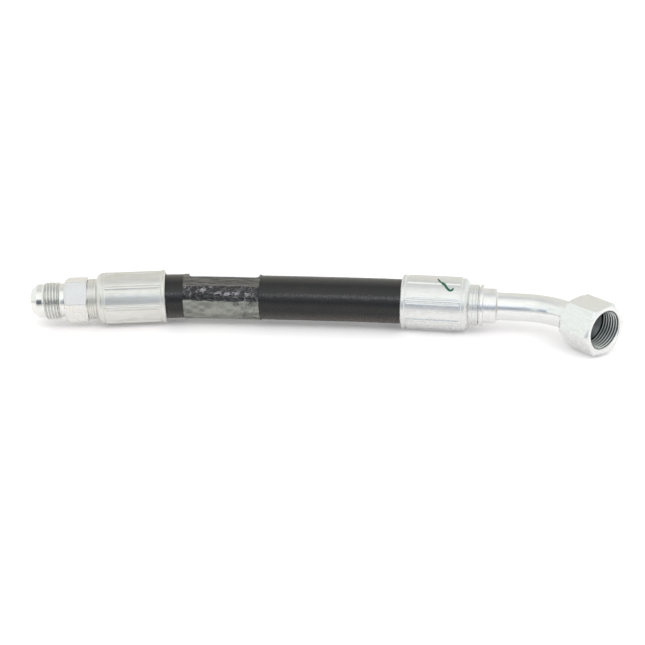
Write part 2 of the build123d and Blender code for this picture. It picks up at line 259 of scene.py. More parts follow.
def subdivide(profile, fine=(), step=2.0):
    """Splits long segments of the closed profile. fine holds (u0, u1, r0, r1, step) boxes."""
    out = []
    n = len(profile)
    for i in range(n):
        p, q = profile[i], profile[(i + 1) % n]
        out.append(p)
        mid, length = (p + q) / 2, float(np.linalg.norm(q - p))
        s = step
        for u0, u1, r0, r1, fs in fine:
            if u0 <= mid[0] <= u1 and r0 <= mid[1] <= r1:
                s = min(s, fs)
        k = int(math.ceil(length / s))
        for j in range(1, k):
            out.append(p + (q - p) * j / k)
    return np.array(out)


def ring_angles(n, centres=(), offsets=()):
    """Angles round an axis, closer together near the given centres. Radians."""
    base = np.linspace(0, 2 * np.pi, n, endpoint=False)
    extra = [c + o for c in centres for o in offsets]
    keep = base
    if extra:
        extra = np.array(extra) % (2 * np.pi)
        gap = 0.45 * 2 * np.pi / n
        d = np.abs((base[:, None] - extra[None, :] + np.pi) % (2 * np.pi) - np.pi).min(1)
        keep = np.concatenate([base[d > gap], extra])
    keep = np.unique(np.round(np.sort(keep), 7))
    return keep


def frame_of(origin, axis):
    axis = np.array(axis, float)
    e1 = UP
    e2 = np.cross(axis, UP)
    e2 /= np.linalg.norm(e2)
    return np.array(origin, float), axis, e1, e2


def turned(name, place, profile, angles, mod=None):
    """A closed ring-shaped solid: profile[(u, r)] in mm round the axis of place."""
    o, ax, e1, e2 = place
    U = np.repeat(profile[:, :1], len(angles), 1)
    R = np.repeat(profile[:, 1:2], len(angles), 1)
    TH = np.repeat(angles[None, :], len(profile), 0)
    if mod:
        U, R = mod(U, R, TH)
    c, s = np.cos(TH), np.sin(TH)
    P = (o + (U[..., None] * ax + (R * c)[..., None] * e1 + (R * s)[..., None] * e2) * MM)
    local = np.stack([U, R * c, R * s], -1)
    return mesh_from_grid(name, P, local)


def hex_radius(theta, af, turn, rho):
    """Polar radius of a hexagon with rounded corners; turn is a corner's angle in radians."""
    a = af / 2
    phi = (theta - turn + np.pi / 6) % (np.pi / 3) - np.pi / 6
    phi = np.abs(phi)
    c = (a - rho) / math.cos(math.pi / 6)
    phit = math.atan2(rho * 0.5, c + rho * math.cos(math.pi / 6))
    flat = a / np.cos(np.pi / 6 - phi)
    arc = c * np.cos(phi) + np.sqrt(np.maximum(rho**2 - (c * np.sin(phi)) ** 2, 0))
    return np.where(phi < phit, arc, flat), phit


def soft_min(a, b, k):
    h = np.clip(0.5 + 0.5 * (b - a) / k, 0, 1)
    return b * (1 - h) + a * h - k * h * (1 - h)


def hex_angles(turn, phit, n=180):
    centres = [turn + k * math.pi / 3 for k in range(6)]
    off = [phit * x for x in (-1.5, -1.15, -1, -0.75, -0.5, -0.25, 0, 0.25, 0.5, 0.75, 1, 1.15, 1.5)]
    return ring_angles(n, centres, off)


def thread_height(x, pitch, depth, crest=0.16, root=0.14):
    """Height above the root, in mm, of a 60 degree thread at phase x (in turns)."""
    t = np.abs((x + 0.5) % 1.0 - 0.5) * 2  # 0 at the crest's middle, 1 at the root's middle
    h = 1 - (t - crest) / (1 - crest - root)
    h = np.clip(h, 0, 1)
    h = h * 0.82 + 0.18 * h * h * (3 - 2 * h)
    return depth * h


PITCH = 25.4 / 12
DEPTH = 1.27


# =============================================================================
# Materials
# =============================================================================
class Nodes:
    """Shorthand for node materials."""

    def __init__(self, name):
        self.mat = bpy.data.materials.new(name)
        self.mat.use_nodes = True
        self.t = self.mat.node_tree
        self.bsdf = self.t.nodes["Principled BSDF"]
        self.out = self.t.nodes["Material Output"]

    def node(self, kind, **props):
        n = self.t.nodes.new(kind)
        for k, v in props.items():
            setattr(n, k, v)
        return n

    def link(self, a, b):
        self.t.links.new(a, b)

    def put(self, sock, value):
        if hasattr(value, "is_output") or isinstance(value, bpy.types.NodeSocket):
            self.link(value, sock)
        else:
            sock.default_value = value

    def local(self):
        n = self.node("ShaderNodeAttribute", attribute_type="GEOMETRY", attribute_name="local")
        return n.outputs["Vector"]

    def attr(self, name):
        n = self.node("ShaderNodeAttribute", attribute_type="GEOMETRY", attribute_name=name)
        return n.outputs["Fac"]

    def scale(self, vec, s):
        n = self.node("ShaderNodeMapping")
        self.link(vec, n.inputs["Vector"])
        n.inputs["Scale"].default_value = s
        return n.outputs["Vector"]

    def math(self, op, a, b=None, clamp=False):
        n = self.node("ShaderNodeMath", operation=op, use_clamp=clamp)
        self.put(n.inputs[0], a)
        if b is not None:
            self.put(n.inputs[1], b)
        return n.outputs[0]

    def noise(self, vec, scale=1.0, detail=3.0, rough=0.5, distortion=0.0):
        n = self.node("ShaderNodeTexNoise")
        self.link(vec, n.inputs["Vector"])
        n.inputs["Scale"].default_value = scale
        n.inputs["Detail"].default_value = detail
        n.inputs["Roughness"].default_value = rough
        n.inputs["Distortion"].default_value = distortion
        return n.outputs["Fac"]

    def ramp(self, fac, stops, mode="LINEAR"):
        n = self.node("ShaderNodeValToRGB")
        cr = n.color_ramp
        cr.interpolation = mode
        while len(cr.elements) < len(stops):
            cr.elements.new(0.5)
        for e, (p, c) in zip(cr.elements, stops):
            e.position = p
            e.color = (*c, 1) if len(c) == 3 else c
        self.put(n.inputs[0], fac)
        return n.outputs["Color"]

    def remap(self, fac, a, b, c, d):
        n = self.node("ShaderNodeMapRange")
        n.clamp = True
        self.put(n.inputs[0], fac)
        for i, v in enumerate((a, b, c, d)):
            n.inputs[i + 1].default_value = v
        return n.outputs[0]

    def mix(self, fac, a, b, blend="MIX"):
        n = self.node("ShaderNodeMix", data_type="RGBA", blend_type=blend)
        self.put(n.inputs[0], fac)
        self.put(n.inputs[6], a if not isinstance(a, tuple) else (*a, 1))
        self.put(n.inputs[7], b if not isinstance(b, tuple) else (*b, 1))
        return n.outputs[2]

    def bump(self, height, strength, distance):
        n = self.node("ShaderNodeBump")
        n.inputs["Strength"].default_value = strength
        n.inputs["Distance"].default_value = distance
        self.link(height, n.inputs["Height"])
        self.link(n.outputs["Normal"], self.bsdf.inputs["Normal"])
        return n

    def sep(self, vec):
        n = self.node("ShaderNodeSeparateXYZ")
        self.link(vec, n.inputs[0])
        return n.outputs

    def set(self, name, value):
        self.put(self.bsdf.inputs[name], value)


def zinc(name, tint=(0.80, 0.80, 0.78), warm=(0.76, 0.74, 0.68), rough=0.24, rings=0.5, draw=0.0,
         blotch=0.5, bump=0.10, wavy=0.25, extra=None):
    """Bright zinc plating over turned or drawn steel.
    rings: tool marks round the axis; draw: fine lines along the axis; wavy: gentle unevenness.
    extra(m, local) gives (factor colour, added roughness): painted shade, and areas finished differently."""
    m = Nodes(name)
    loc = m.local()
    ring = m.noise(m.scale(loc, (5.0, 0.10, 0.10)), 1.0, 3, 0.6)
    line = m.noise(m.scale(loc, (0.07, 1.9, 1.9)), 1.0, 4, 0.62)
    cloud = m.noise(m.scale(loc, (0.13, 0.16, 0.16)), 1.0, 4, 0.6, 0.4)
    stain = m.noise(m.scale(loc, (0.30, 0.55, 0.55)), 1.0, 5, 0.7, 0.6)
    wave = m.noise(m.scale(loc, (0.28, 0.34, 0.34)), 1.0, 2, 0.5)
    col = m.mix(m.remap(cloud, 0.38, 0.66, 0.0, blotch), tint, warm)
    col = m.mix(m.remap(stain, 0.56, 0.74, 0.0, 0.35), col, tuple(x * 0.80 for x in warm))
    marks = m.math("ADD", m.math("MULTIPLY", ring, rings), m.math("MULTIPLY", line, draw))
    mid = 0.5 * (rings + draw)
    shade = m.ramp(m.remap(marks, mid * 0.72, mid * 1.28, 0, 1), [(0.0, (0.87, 0.87, 0.87)), (0.55, (1, 1, 1)), (1.0, (0.95, 0.95, 0.95))])
    col = m.mix(1.0, col, shade, "MULTIPLY")
    rgh = m.math("ADD", m.remap(cloud, 0.3, 0.7, rough - 0.05, rough + 0.06),
                 m.remap(stain, 0.5, 0.75, 0.0, 0.09))
    if extra:
        factor, more = extra(m, loc)
        col = m.mix(1.0, col, factor, "MULTIPLY")
        rgh = m.math("ADD", rgh, more)
    m.set("Base Color", col)
    m.bsdf.inputs["Metallic"].default_value = 1.0
    m.set("Roughness", rgh)
    h = m.math("ADD", marks, m.math("MULTIPLY", wave, wavy * 8))
    m.bump(h, bump, 0.0003)
    return m.mat


def radius_of(m, loc):
    """Distance from the axis and distance along it, in mm."""
    x, y, z = m.sep(loc)[:3]
    r = m.math("SQRT", m.math("ADD", m.math("MULTIPLY", y, y), m.math("MULTIPLY", z, z)))
    return r, x


def between(m, v, a, b, soft=0.1):
    return m.math("MULTIPLY", m.remap(v, a - soft, a + soft, 0, 1), m.remap(v, b - soft, b + soft, 1, 0))


def male_stem_shade_and_finish(m, loc):
    """Painted shade in the thread's roots and on one flat of the hexagon, and the duller flats of the hexagon."""
    r, u = radius_of(m, loc)
    x, y, z = m.sep(loc)[:3]
    # painted shade: the thread's roots are darkened
    thread = m.math("MULTIPLY", between(m, u, 73.8, 84.6), m.remap(r, 12.25, 13.05, 1, 0))
    thread = m.math("MULTIPLY", thread, m.remap(r, 11.6, 11.9, 0, 1))
    hexz = m.math("MULTIPLY", between(m, u, 54.6, 70.3), m.remap(r, 13.2, 13.6, 0, 1))
    # painted shade: the one hexagon flat that faces this way is darkened
    toward = m.math("ADD", m.math("MULTIPLY", y, 0.598), m.math("MULTIPLY", z, -0.802))
    shaded_face = m.math("MULTIPLY", hexz, m.remap(toward, 13.95, 14.12, 0, 1))
    f = m.mix(hexz, (1.0, 1.0, 1.0), (0.98, 0.975, 0.97))
    f = m.mix(shaded_face, f, (0.79, 0.80, 0.85))
    f = m.mix(thread, f, (0.82, 0.84, 0.86))
    return f, m.math("ADD", m.math("MULTIPLY", hexz, 0.14), m.math("MULTIPLY", thread, 0.12))


def nut_thread_painted_shade(m, loc):
    """Painted shade inside the nut's thread: dark roots against bright crests, darker still further in."""
    r, u = radius_of(m, loc)
    inside = m.math("MULTIPLY", between(m, u, 8.0, 24.3), m.remap(r, 13.9, 14.1, 1, 0))
    # painted shade in the thread's roots, and more of it further inside
    root = m.math("MULTIPLY", inside, m.remap(r, 12.75, 13.45, 0, 1))
    deep_painted_shade = m.math("MULTIPLY", inside, m.remap(u, 12.0, 23.0, 1, 0))
    f = m.mix(root, (1.0, 1.0, 1.0), (0.27, 0.30, 0.32))
    f = m.mix(m.math("MULTIPLY", deep_painted_shade, 0.85), f, m.mix(1.0, f, (0.50, 0.53, 0.54), "MULTIPLY"))
    return f, m.math("MULTIPLY", inside, 0.06)


def rubber_cover():
    m = Nodes("cover_rubber")
    loc = m.local()
    weave_a = m.node("ShaderNodeTexWave", wave_type="BANDS", bands_direction="X", wave_profile="SIN")
    weave_a.inputs["Scale"].default_value = 0.42
    weave_a.inputs["Distortion"].default_value = 1.2
    weave_a.inputs["Detail"].default_value = 2.0
    weave_a.inputs["Detail Scale"].default_value = 1.4
    m.link(loc, weave_a.inputs["Vector"])
    fine = m.noise(m.scale(loc, (1.1, 1.6, 1.6)), 1.0, 4, 0.62)
    cross = m.noise(m.scale(loc, (2.6, 0.45, 0.45)), 1.0, 3, 0.6)
    dust = m.noise(m.scale(loc, (0.05, 0.14, 0.14)), 1.0, 4, 0.6, 0.5)
    # lighter and warmer low on the side, and lighter along the top
    x, y, z = m.sep(loc)[:3]
    low = m.remap(m.math("ADD", y, m.math("MULTIPLY", z, 0.35)), 0.5, -5.5, 0, 1)
    low = m.math("MULTIPLY", low, m.remap(dust, 0.2, 0.6, 0.75, 1.1), clamp=True)
    crown = m.remap(y, 13.2, 15.6, 0, 1)
    col = m.mix(m.remap(dust, 0.42, 0.72, 0, 0.7), (0.0050, 0.0050, 0.0052), (0.011, 0.0102, 0.009))
    col = m.mix(low, col, (0.037, 0.0305, 0.0245))
    col = m.mix(crown, col, (0.026, 0.0245, 0.022))
    m.set("Base Color", col)
    m.set("Roughness", m.math("ADD", m.remap(fine, 0.3, 0.7, 0.21, 0.29), m.remap(cross, 0.35, 0.7, 0.0, 0.07)))
    m.bsdf.inputs["IOR"].default_value = 1.45
    h = m.math("ADD", m.math("MULTIPLY", weave_a.outputs["Fac"], 0.5), m.math("MULTIPLY", cross, 0.9))
    h = m.math("ADD", h, m.math("MULTIPLY", fine, 0.7))
    m.bump(h, 0.55, 0.00007)
    return m.mat


def film_material():
    """Clear shrink film: glossy and dark where it lies on the rubber, hazy grey where it stands off, with painted
    highlights on its crease ridges.
    """
    m = Nodes("clear_film")
    loc = m.local()
    haze = m.attr("haze")
    lift = m.attr("lift")
    mott = m.noise(m.scale(loc, (0.9, 1.2, 1.2)), 1.0, 5, 0.75, 0.4)
    fleck = m.noise(m.scale(loc, (1.9, 2.3, 2.3)), 1.0, 3, 0.7)
    streak = m.noise(m.scale(loc, (0.10, 1.5, 1.5)), 1.0, 5, 0.65)
    speck = m.noise(m.scale(loc, (0.6, 0.9, 0.9)), 1.0, 4, 0.75, 0.3)
    h = m.math("ADD", haze, m.math("MULTIPLY", m.math("SUBTRACT", mott, 0.5), 0.9), clamp=True)
    h = m.math("MULTIPLY", h, m.remap(haze, 0.02, 0.2, 0, 1), clamp=True)
    col = m.mix(h, (0.0035, 0.0035, 0.0035), (0.245, 0.252, 0.218))
    col = m.mix(m.math("MULTIPLY", m.remap(speck, 0.54, 0.64, 0, 0.75), haze, clamp=True), col, (0.050, 0.052, 0.048))
    col = m.mix(m.math("MULTIPLY", m.remap(fleck, 0.60, 0.72, 0, 0.5), haze, clamp=True), col, (0.36, 0.355, 0.33))
    col = m.mix(m.remap(m.math("MULTIPLY", lift, streak), 0.33, 0.56, 0, 0.80), col, (0.150, 0.141, 0.125))
    # painted highlights on the crease ridges
    col = m.mix(m.remap(m.attr("crease_highlight"), 0.10, 0.80, 0, 1), col, (0.27, 0.255, 0.28))
    m.set("Base Color", col)
    m.set("Roughness", m.remap(h, 0.0, 0.6, 0.09, 0.46))
    m.bsdf.inputs["IOR"].default_value = 1.50
    hh = m.math("ADD", m.math("MULTIPLY", mott, 0.7), m.math("MULTIPLY", speck, 0.6))
    m.bump(hh, 0.40, 0.00012)
    return m.mat


def label_material():
    m = Nodes("blank_label")
    loc = m.local()
    fibre = m.noise(m.scale(loc, (0.7, 1.2, 1.2)), 1.0, 5, 0.65)
    m.set("Base Color", m.mix(m.remap(fibre, 0.35, 0.75, 0, 1), (0.88, 0.88, 0.92), (0.78, 0.78, 0.83)))
    m.set("Roughness", m.remap(fibre, 0.3, 0.7, 0.5, 0.62))
    m.bump(fibre, 0.15, 0.0001)
    return m.mat


def paint_material():
    m = Nodes("paint_mark")
    loc = m.local()
    n = m.noise(m.scale(loc, (1.6, 1.6, 1.6)), 1.0, 4, 0.6)
    m.set("Base Color", m.mix(m.remap(n, 0.35, 0.7, 0, 1), (0.0, 0.060, 0.034), (0.004, 0.115, 0.062)))
    m.set("Roughness", m.remap(n, 0.3, 0.7, 0.32, 0.5))
    m.bump(n, 0.2, 0.0002)
    return m.mat


def inner_rubber_material():
    m = Nodes("inner_rubber")
    loc = m.local()
    n = m.noise(m.scale(loc, (0.5, 1.0, 1.0)), 1.0, 4, 0.6)
    m.set("Base Color", m.mix(m.remap(n, 0.35, 0.7, 0, 1), (0.010, 0.010, 0.010), (0.022, 0.021, 0.020)))
    m.set("Roughness", m.remap(n, 0.3, 0.7, 0.45, 0.6))
    m.bump(n, 0.25, 0.0002)
    return m.mat


def braid_material():
    m = Nodes("braid_wire")
    loc = m.local()
    n = m.noise(m.scale(loc, (1.0, 1.6, 1.6)), 1.0, 3, 0.6)
    h = m.attr("weave")
    col = m.mix(m.remap(n, 0.35, 0.7, 0, 1), (0.58, 0.50, 0.36), (0.44, 0.37, 0.26))
    col = m.mix(m.remap(h, 0.0, 0.45, 0.8, 0.0), col, (0.03, 0.03, 0.03))
    m.set("Base Color", col)
    m.set("Metallic", 1.0)
    m.set("Roughness", m.remap(n, 0.3, 0.7, 0.28, 0.42))
    return m.mat


def braze_material():
    m = Nodes("braze_alloy")
    loc = m.local()
    n = m.noise(m.scale(loc, (0.8, 0.8, 0.8)), 1.0, 4, 0.65)
    m.set("Base Color", m.mix(m.remap(n, 0.35, 0.7, 0, 1), (0.81, 0.80, 0.78), (0.73, 0.72, 0.70)))
    m.set("Metallic", 1.0)
    m.set("Roughness", m.remap(n, 0.3, 0.7, 0.30, 0.46))
    m.bump(n, 0.35, 0.0003)
    return m.mat


def wire_material():
    m = Nodes("spring_wire")
    loc = m.local()
    n = m.noise(m.scale(loc, (3.0, 0.6, 0.6)), 1.0, 4, 0.6)
    m.set("Base Color", m.mix(m.remap(n, 0.35, 0.7, 0, 1), (0.50, 0.50, 0.49), (0.38, 0.37, 0.35)))
    m.set("Metallic", 1.0)
    m.set("Roughness", m.remap(n, 0.3, 0.7, 0.26, 0.40))
    m.bump(n, 0.2, 0.0001)
    return m.mat


mat_male_stem = zinc("zinc_male_stem", (0.81, 0.81, 0.79), (0.80, 0.775, 0.70), 0.12, rings=0.7, draw=0.15, bump=0.05,
                     extra=male_stem_shade_and_finish)
mat_male_ferrule = zinc("zinc_male_ferrule", (0.725, 0.725, 0.695), (0.69, 0.665, 0.595), 0.33, rings=0.1, draw=0.9,
                        bump=0.09)
mat_swivel_ferrule = zinc("zinc_swivel_ferrule", (0.745, 0.755, 0.75), (0.72, 0.71, 0.655), 0.27, rings=0.1, draw=0.9,
                          bump=0.09)
mat_swivel_stem = zinc("zinc_swivel_stem", (0.80, 0.80, 0.80), (0.78, 0.765, 0.735), 0.18, rings=0.7, draw=0.1, bump=0.05)
mat_tube = zinc("zinc_bent_tube", (0.80, 0.81, 0.80), (0.78, 0.765, 0.73), 0.16, rings=0.1, draw=0.6, bump=0.03, blotch=0.35)
mat_nut = zinc("zinc_swivel_nut", (0.80, 0.81, 0.80), (0.78, 0.775, 0.745), 0.24, rings=0.2, draw=0.5, bump=0.03, blotch=0.5,
               extra=nut_thread_painted_shade)
# painted shade: the seat sleeve's zinc is tinted near black for the shade it lies in inside the nut
mat_seat_painted_shade = zinc("zinc_seat_sleeve_painted_shade", (0.20, 0.21, 0.21), (0.16, 0.165, 0.16), 0.34, rings=0.9, draw=0.0, bump=0.08)
mat_cover = rubber_cover()
mat_film = film_material()
mat_label = label_material()
mat_paint = paint_material()
mat_inner = inner_rubber_material()
mat_braid = braid_material()
mat_braze = braze_material()
mat_wire = wire_material()


def finish_piece(ob, material, slot, body, *nodes):
    ob.data.materials.append(material)
    if body:
        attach(ob, body)
    if nodes:
        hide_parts(*nodes)
    return ob


# =============================================================================
# Hose
# =============================================================================
def hose_layer(name, s0, s1, outer, inner, rows, cols, end_fillet=0.25, extra=None):
    """A tube along the route from s0 to s1 (mm). outer and inner give radii in mm from (s, angle)."""
    s_out = np.linspace(s0, s1, rows)
    rows_in = max(8, rows // 4)
    s_in = np.linspace(s1, s0, rows_in)
    th = np.linspace(-np.pi, np.pi, cols, endpoint=False)
    S = np.concatenate([s_out, s_in])[:, None] * np.ones((1, cols))
    TH = np.ones((len(S), 1)) * th[None, :]
    R = np.empty_like(S)
    R[:rows] = outer(S[:rows], TH[:rows])
    R[rows:] = inner(S[rows:], TH[rows:])
    # round the two outer end edges
    R[0] -= end_fillet
    R[rows - 1] -= end_fillet
    p, t = line_at(S[:, 0] * MM)
    side = np.cross(t, UP)
    side /= np.linalg.norm(side, axis=1, keepdims=True)
    c, s = np.cos(TH), np.sin(TH)
    P = p[:, None, :] + ((R * c)[..., None] * UP + (R * s)[..., None] * side[:, None, :]) * MM
    local = np.stack([S, R * c, R * s], -1)
    ob = mesh_from_grid(name, P, local)
    if extra:
        for key, fn in extra.items():
            v = np.zeros_like(S)
            v[:rows] = fn(S[:rows], TH[:rows])
            at = ob.data.attributes.new(key, "FLOAT", "POINT")
            at.data.foreach_set("value", v.astype(np.float32).ravel())
    return ob


LIP_A, LIP_B = MALE_LIP_S / MM, SWIVEL_LIP_S / MM
TOTAL = ROUTE_LENGTH / MM

_cover_a, _cover_b, _cover_c = Grid(11, 512, 60), Grid(12, 512, 24), Grid(13, 256, 8)


def cover_outer(s, th):
    turn = th / (2 * np.pi)
    wrap = (s / 5.1 + turn) % 1.0                       # edge of the wrapping tape, one turn per 5.1 mm
    ridge = np.exp(-((wrap - 0.5) / 0.10) ** 2) * 0.055
    cloth = 0.030 * _cover_a(s / 0.9, turn * 60 + 30)
    lump = 0.035 * _cover_b(s / 3.1, turn * 24 + 12)
    wave = 0.05 * _cover_c(s / 17.0, turn * 8 + 4)
    r = 15.52 + ridge + cloth + lump + wave
    # under the ferrules the cover is squeezed
    grip = np.maximum(smooth(LIP_A - 2.0, LIP_A - 6.0, s), smooth(LIP_B + 2.0, LIP_B + 6.0, s))
    return r - 0.35 * grip


cover = hose_layer("hose_cover_visual", 0.0, TOTAL, cover_outer, lambda s, th: 13.38 + 0 * s, 520, 180)
finish_piece(cover, mat_cover, "cover_rubber", None, "hose_cover")


def braid_outer(mean, carriers, seed):
    def weave(s, th):
        a = (carriers * th / (2 * np.pi) + s / 5.2) % 1.0
        b = (carriers * th / (2 * np.pi) - s / 5.2) % 1.0
        k = np.floor(carriers * th / (2 * np.pi) + s / 5.2) + np.floor(carriers * th / (2 * np.pi) - s / 5.2)
        over = np.where(k % 2 == 0, 1.0, 0.0)
        wa = np.sqrt(np.clip(1 - (2 * a - 1) ** 2, 0, 1)) * (0.6 + 0.4 * np.abs(np.sin(a * np.pi * 5)))
        wb = np.sqrt(np.clip(1 - (2 * b - 1) ** 2, 0, 1)) * (0.6 + 0.4 * np.abs(np.sin(b * np.pi * 5)))
        return np.maximum(wa * over, wb * (1 - over)) * 0.8 + 0.2 * np.minimum(wa, wb)

    def outer(s, th):
        return mean - 0.24 + 0.22 * weave(s, th)

    return outer, weave


tube_layer = hose_layer("hose_inner_tube_visual", 0.3, TOTAL - 0.3, lambda s, th: 11.56 + 0 * s,
                        lambda s, th: 9.53 + 0.0 * s, 180, 96)
finish_piece(tube_layer, mat_inner, "inner_rubber", None, "hose_inner_tube")
o1, w1 = braid_outer(12.28, 24, 1)
braid_1 = hose_layer("hose_inner_braid_visual", 0.2, TOTAL - 0.2, o1, lambda s, th: 11.60 + 0 * s, 420, 192,
                     0.05, {"weave": w1})
finish_piece(braid_1, mat_braid, "braid_wire", None, "hose_inner_braid")
insulation = hose_layer("hose_insulation_visual", 0.3, TOTAL - 0.3, lambda s, th: 12.63 + 0 * s,
                        lambda s, th: 12.30 + 0 * s, 180, 96, 0.05)
finish_piece(insulation, mat_inner, "inner_rubber", None, "hose_insulation_layer")
o2, w2 = braid_outer(13.33, 24, 2)
braid_2 = hose_layer("hose_outer_braid_visual", 0.2, TOTAL - 0.2, o2, lambda s, th: 12.65 + 0 * s, 420, 192,
                     0.05, {"weave": w2})
finish_piece(braid_2, mat_braid, "braid_wire", None, "hose_outer_braid")

# ---- film wrapped round the hose ------------------------------------------
_f1, _f2, _f3, _f4 = Grid(21, 512, 96), Grid(22, 256, 40), Grid(23, 256, 16), Grid(24, 512, 180)
_f5, _f6 = Grid(25, 256, 32), Grid(26, 256, 48)
FILM_A, FILM_B = LIP_A + 13.2, LIP_A + 67.8


def facing(th):
    """Angle in degrees above the horizontal on the side where th is +90 (0 = that side, 90 = top)."""
    return 90 - np.degrees(th)


def zones(s, th):
    """Weights of the film's zones: lifted top strip, crinkled dark middle, hazy lower part."""
    psi = facing(th)                                     # -90..270
    wav = 2.2 * _f2(s / 4.0, 3.3) + 1.4 * _f2(s / 1.6, 9.7)
    x = s - FILM_A
    seam = 11.0 - 2.6 * np.sin(np.clip(x / 54.6, 0, 1) * np.pi) + 0.5 * wav   # lower edge of the tight part
    top = 47.0 + 0.45 * wav + 2.0 * _f2(s / 13.0, 21.3)   # lower edge of the lifted strip
    low = 1 - smooth(seam - 1.6, seam + 0.6, psi)
    low = np.where(psi > 200, 1.0, low)
    high = smooth(top - 1.0, top + 1.5, psi) * (1 - smooth(205, 215, psi))
    mid = np.clip(1 - low - high, 0, 1)
    return high, mid, low, psi, seam, top


def folds(s, y, kind):
    """Ridge lines of the wrinkled film, 0..1, at three sizes. Slanted, as shrunk film creases are."""
    a, k, o = ((3.3, 32, 0), (2.1, 48, 60), (1.1, 96, 120))[kind]
    g = (_f5, _f6, _f1)[kind]
    n = g(s / a + o + 0.9 * np.sin(y * 40), y * k + 5)
    return np.clip(1 - 1.6 * np.abs(n), 0, 1) ** 1.8


def film_crease_highlight(s, th):
    """Painted highlights on the film's crease ridges, strongest in a narrow band along the side where the hose's
    highlight lies.
    """
    high, mid, low, psi, seam, top = zones(s, th)
    y = th / (2 * np.pi)
    x = (s - FILM_A) / (FILM_B - FILM_A)
    c = np.maximum(folds(s, y, 0) ** 2.2, 0.85 * folds(s, y, 1) ** 2.4)
    dense = 0.45 + 0.55 * np.clip(_f2(s / 3.0 + 70, y * 40) + 0.4, 0, 1)
    # painted highlight: a band of brighter creases at the highlight's height
    band = np.exp(-((psi - 27.0) / 3.6) ** 2) * smooth(0.36, 0.5, x) * (1 - smooth(0.86, 0.92, x))
    many = 0.38 + 0.42 * (1 - smooth(0.2, 0.5, x)) * smooth(24, 34, psi)
    return np.clip(mid * (c * dense * many + 0.75 * band * (0.10 + c)), 0, 1)


def film_height(s, th):
    high, mid, low, psi, seam, top = zones(s, th)
    y = th / (2 * np.pi)
    fine = _f4(s / 0.55, y * 180)
    h = mid * (0.34 * folds(s, y, 0) + 0.30 * folds(s, y, 1) + 0.10 * folds(s, y, 2) + 0.015 * fine)
    h += low * (0.10 + 0.06 * _f1(s / 0.9, y * 96) + 0.04 * fine)
    h += high * (0.10 + 0.04 * _f3(s / 8.0, y * 16) + 0.015 * fine)
    # folded edges
    h += 0.22 * np.exp(-((psi - seam) / 1.1) ** 2) + 0.16 * np.exp(-((psi - top) / 1.0) ** 2)
    # tight, slightly puckered ends
    end = np.exp(-((s - FILM_A) / 0.5) ** 2) + np.exp(-((FILM_B - s) / 0.5) ** 2)
    return h + 0.10 * end


def film_haze(s, th):
    high, mid, low, psi, seam, top = zones(s, th)
    y = th / (2 * np.pi)
    x = (s - FILM_A) / (FILM_B - FILM_A)
    patch = 0.75 + 0.35 * _f2(s / 5.0, y * 40) - 0.25 * smooth(0.45, 0.8, x) * smooth(0, 1, _f1(s / 1.1, y * 96) + 0.5)
    return np.clip(low * patch + 0.0 * mid + 0.12 * high, 0, 1)


def film_lift(s, th):
    high, mid, low, psi, seam, top = zones(s, th)
    edge = np.exp(-((psi - top - 1.0) / 2.2) ** 2)
    return np.clip(high * 0.85 + 0.6 * edge, 0, 1)


film = hose_layer("film_wrap_visual", FILM_A, FILM_B, lambda s, th: 15.78 + film_height(s, th),
                  lambda s, th: 15.66 + 0 * s, 300, 480, 0.06, {"haze": film_haze, "lift": film_lift, "crease_highlight": film_crease_highlight})
finish_piece(film, mat_film, "clear_film", None, "film_wrap")


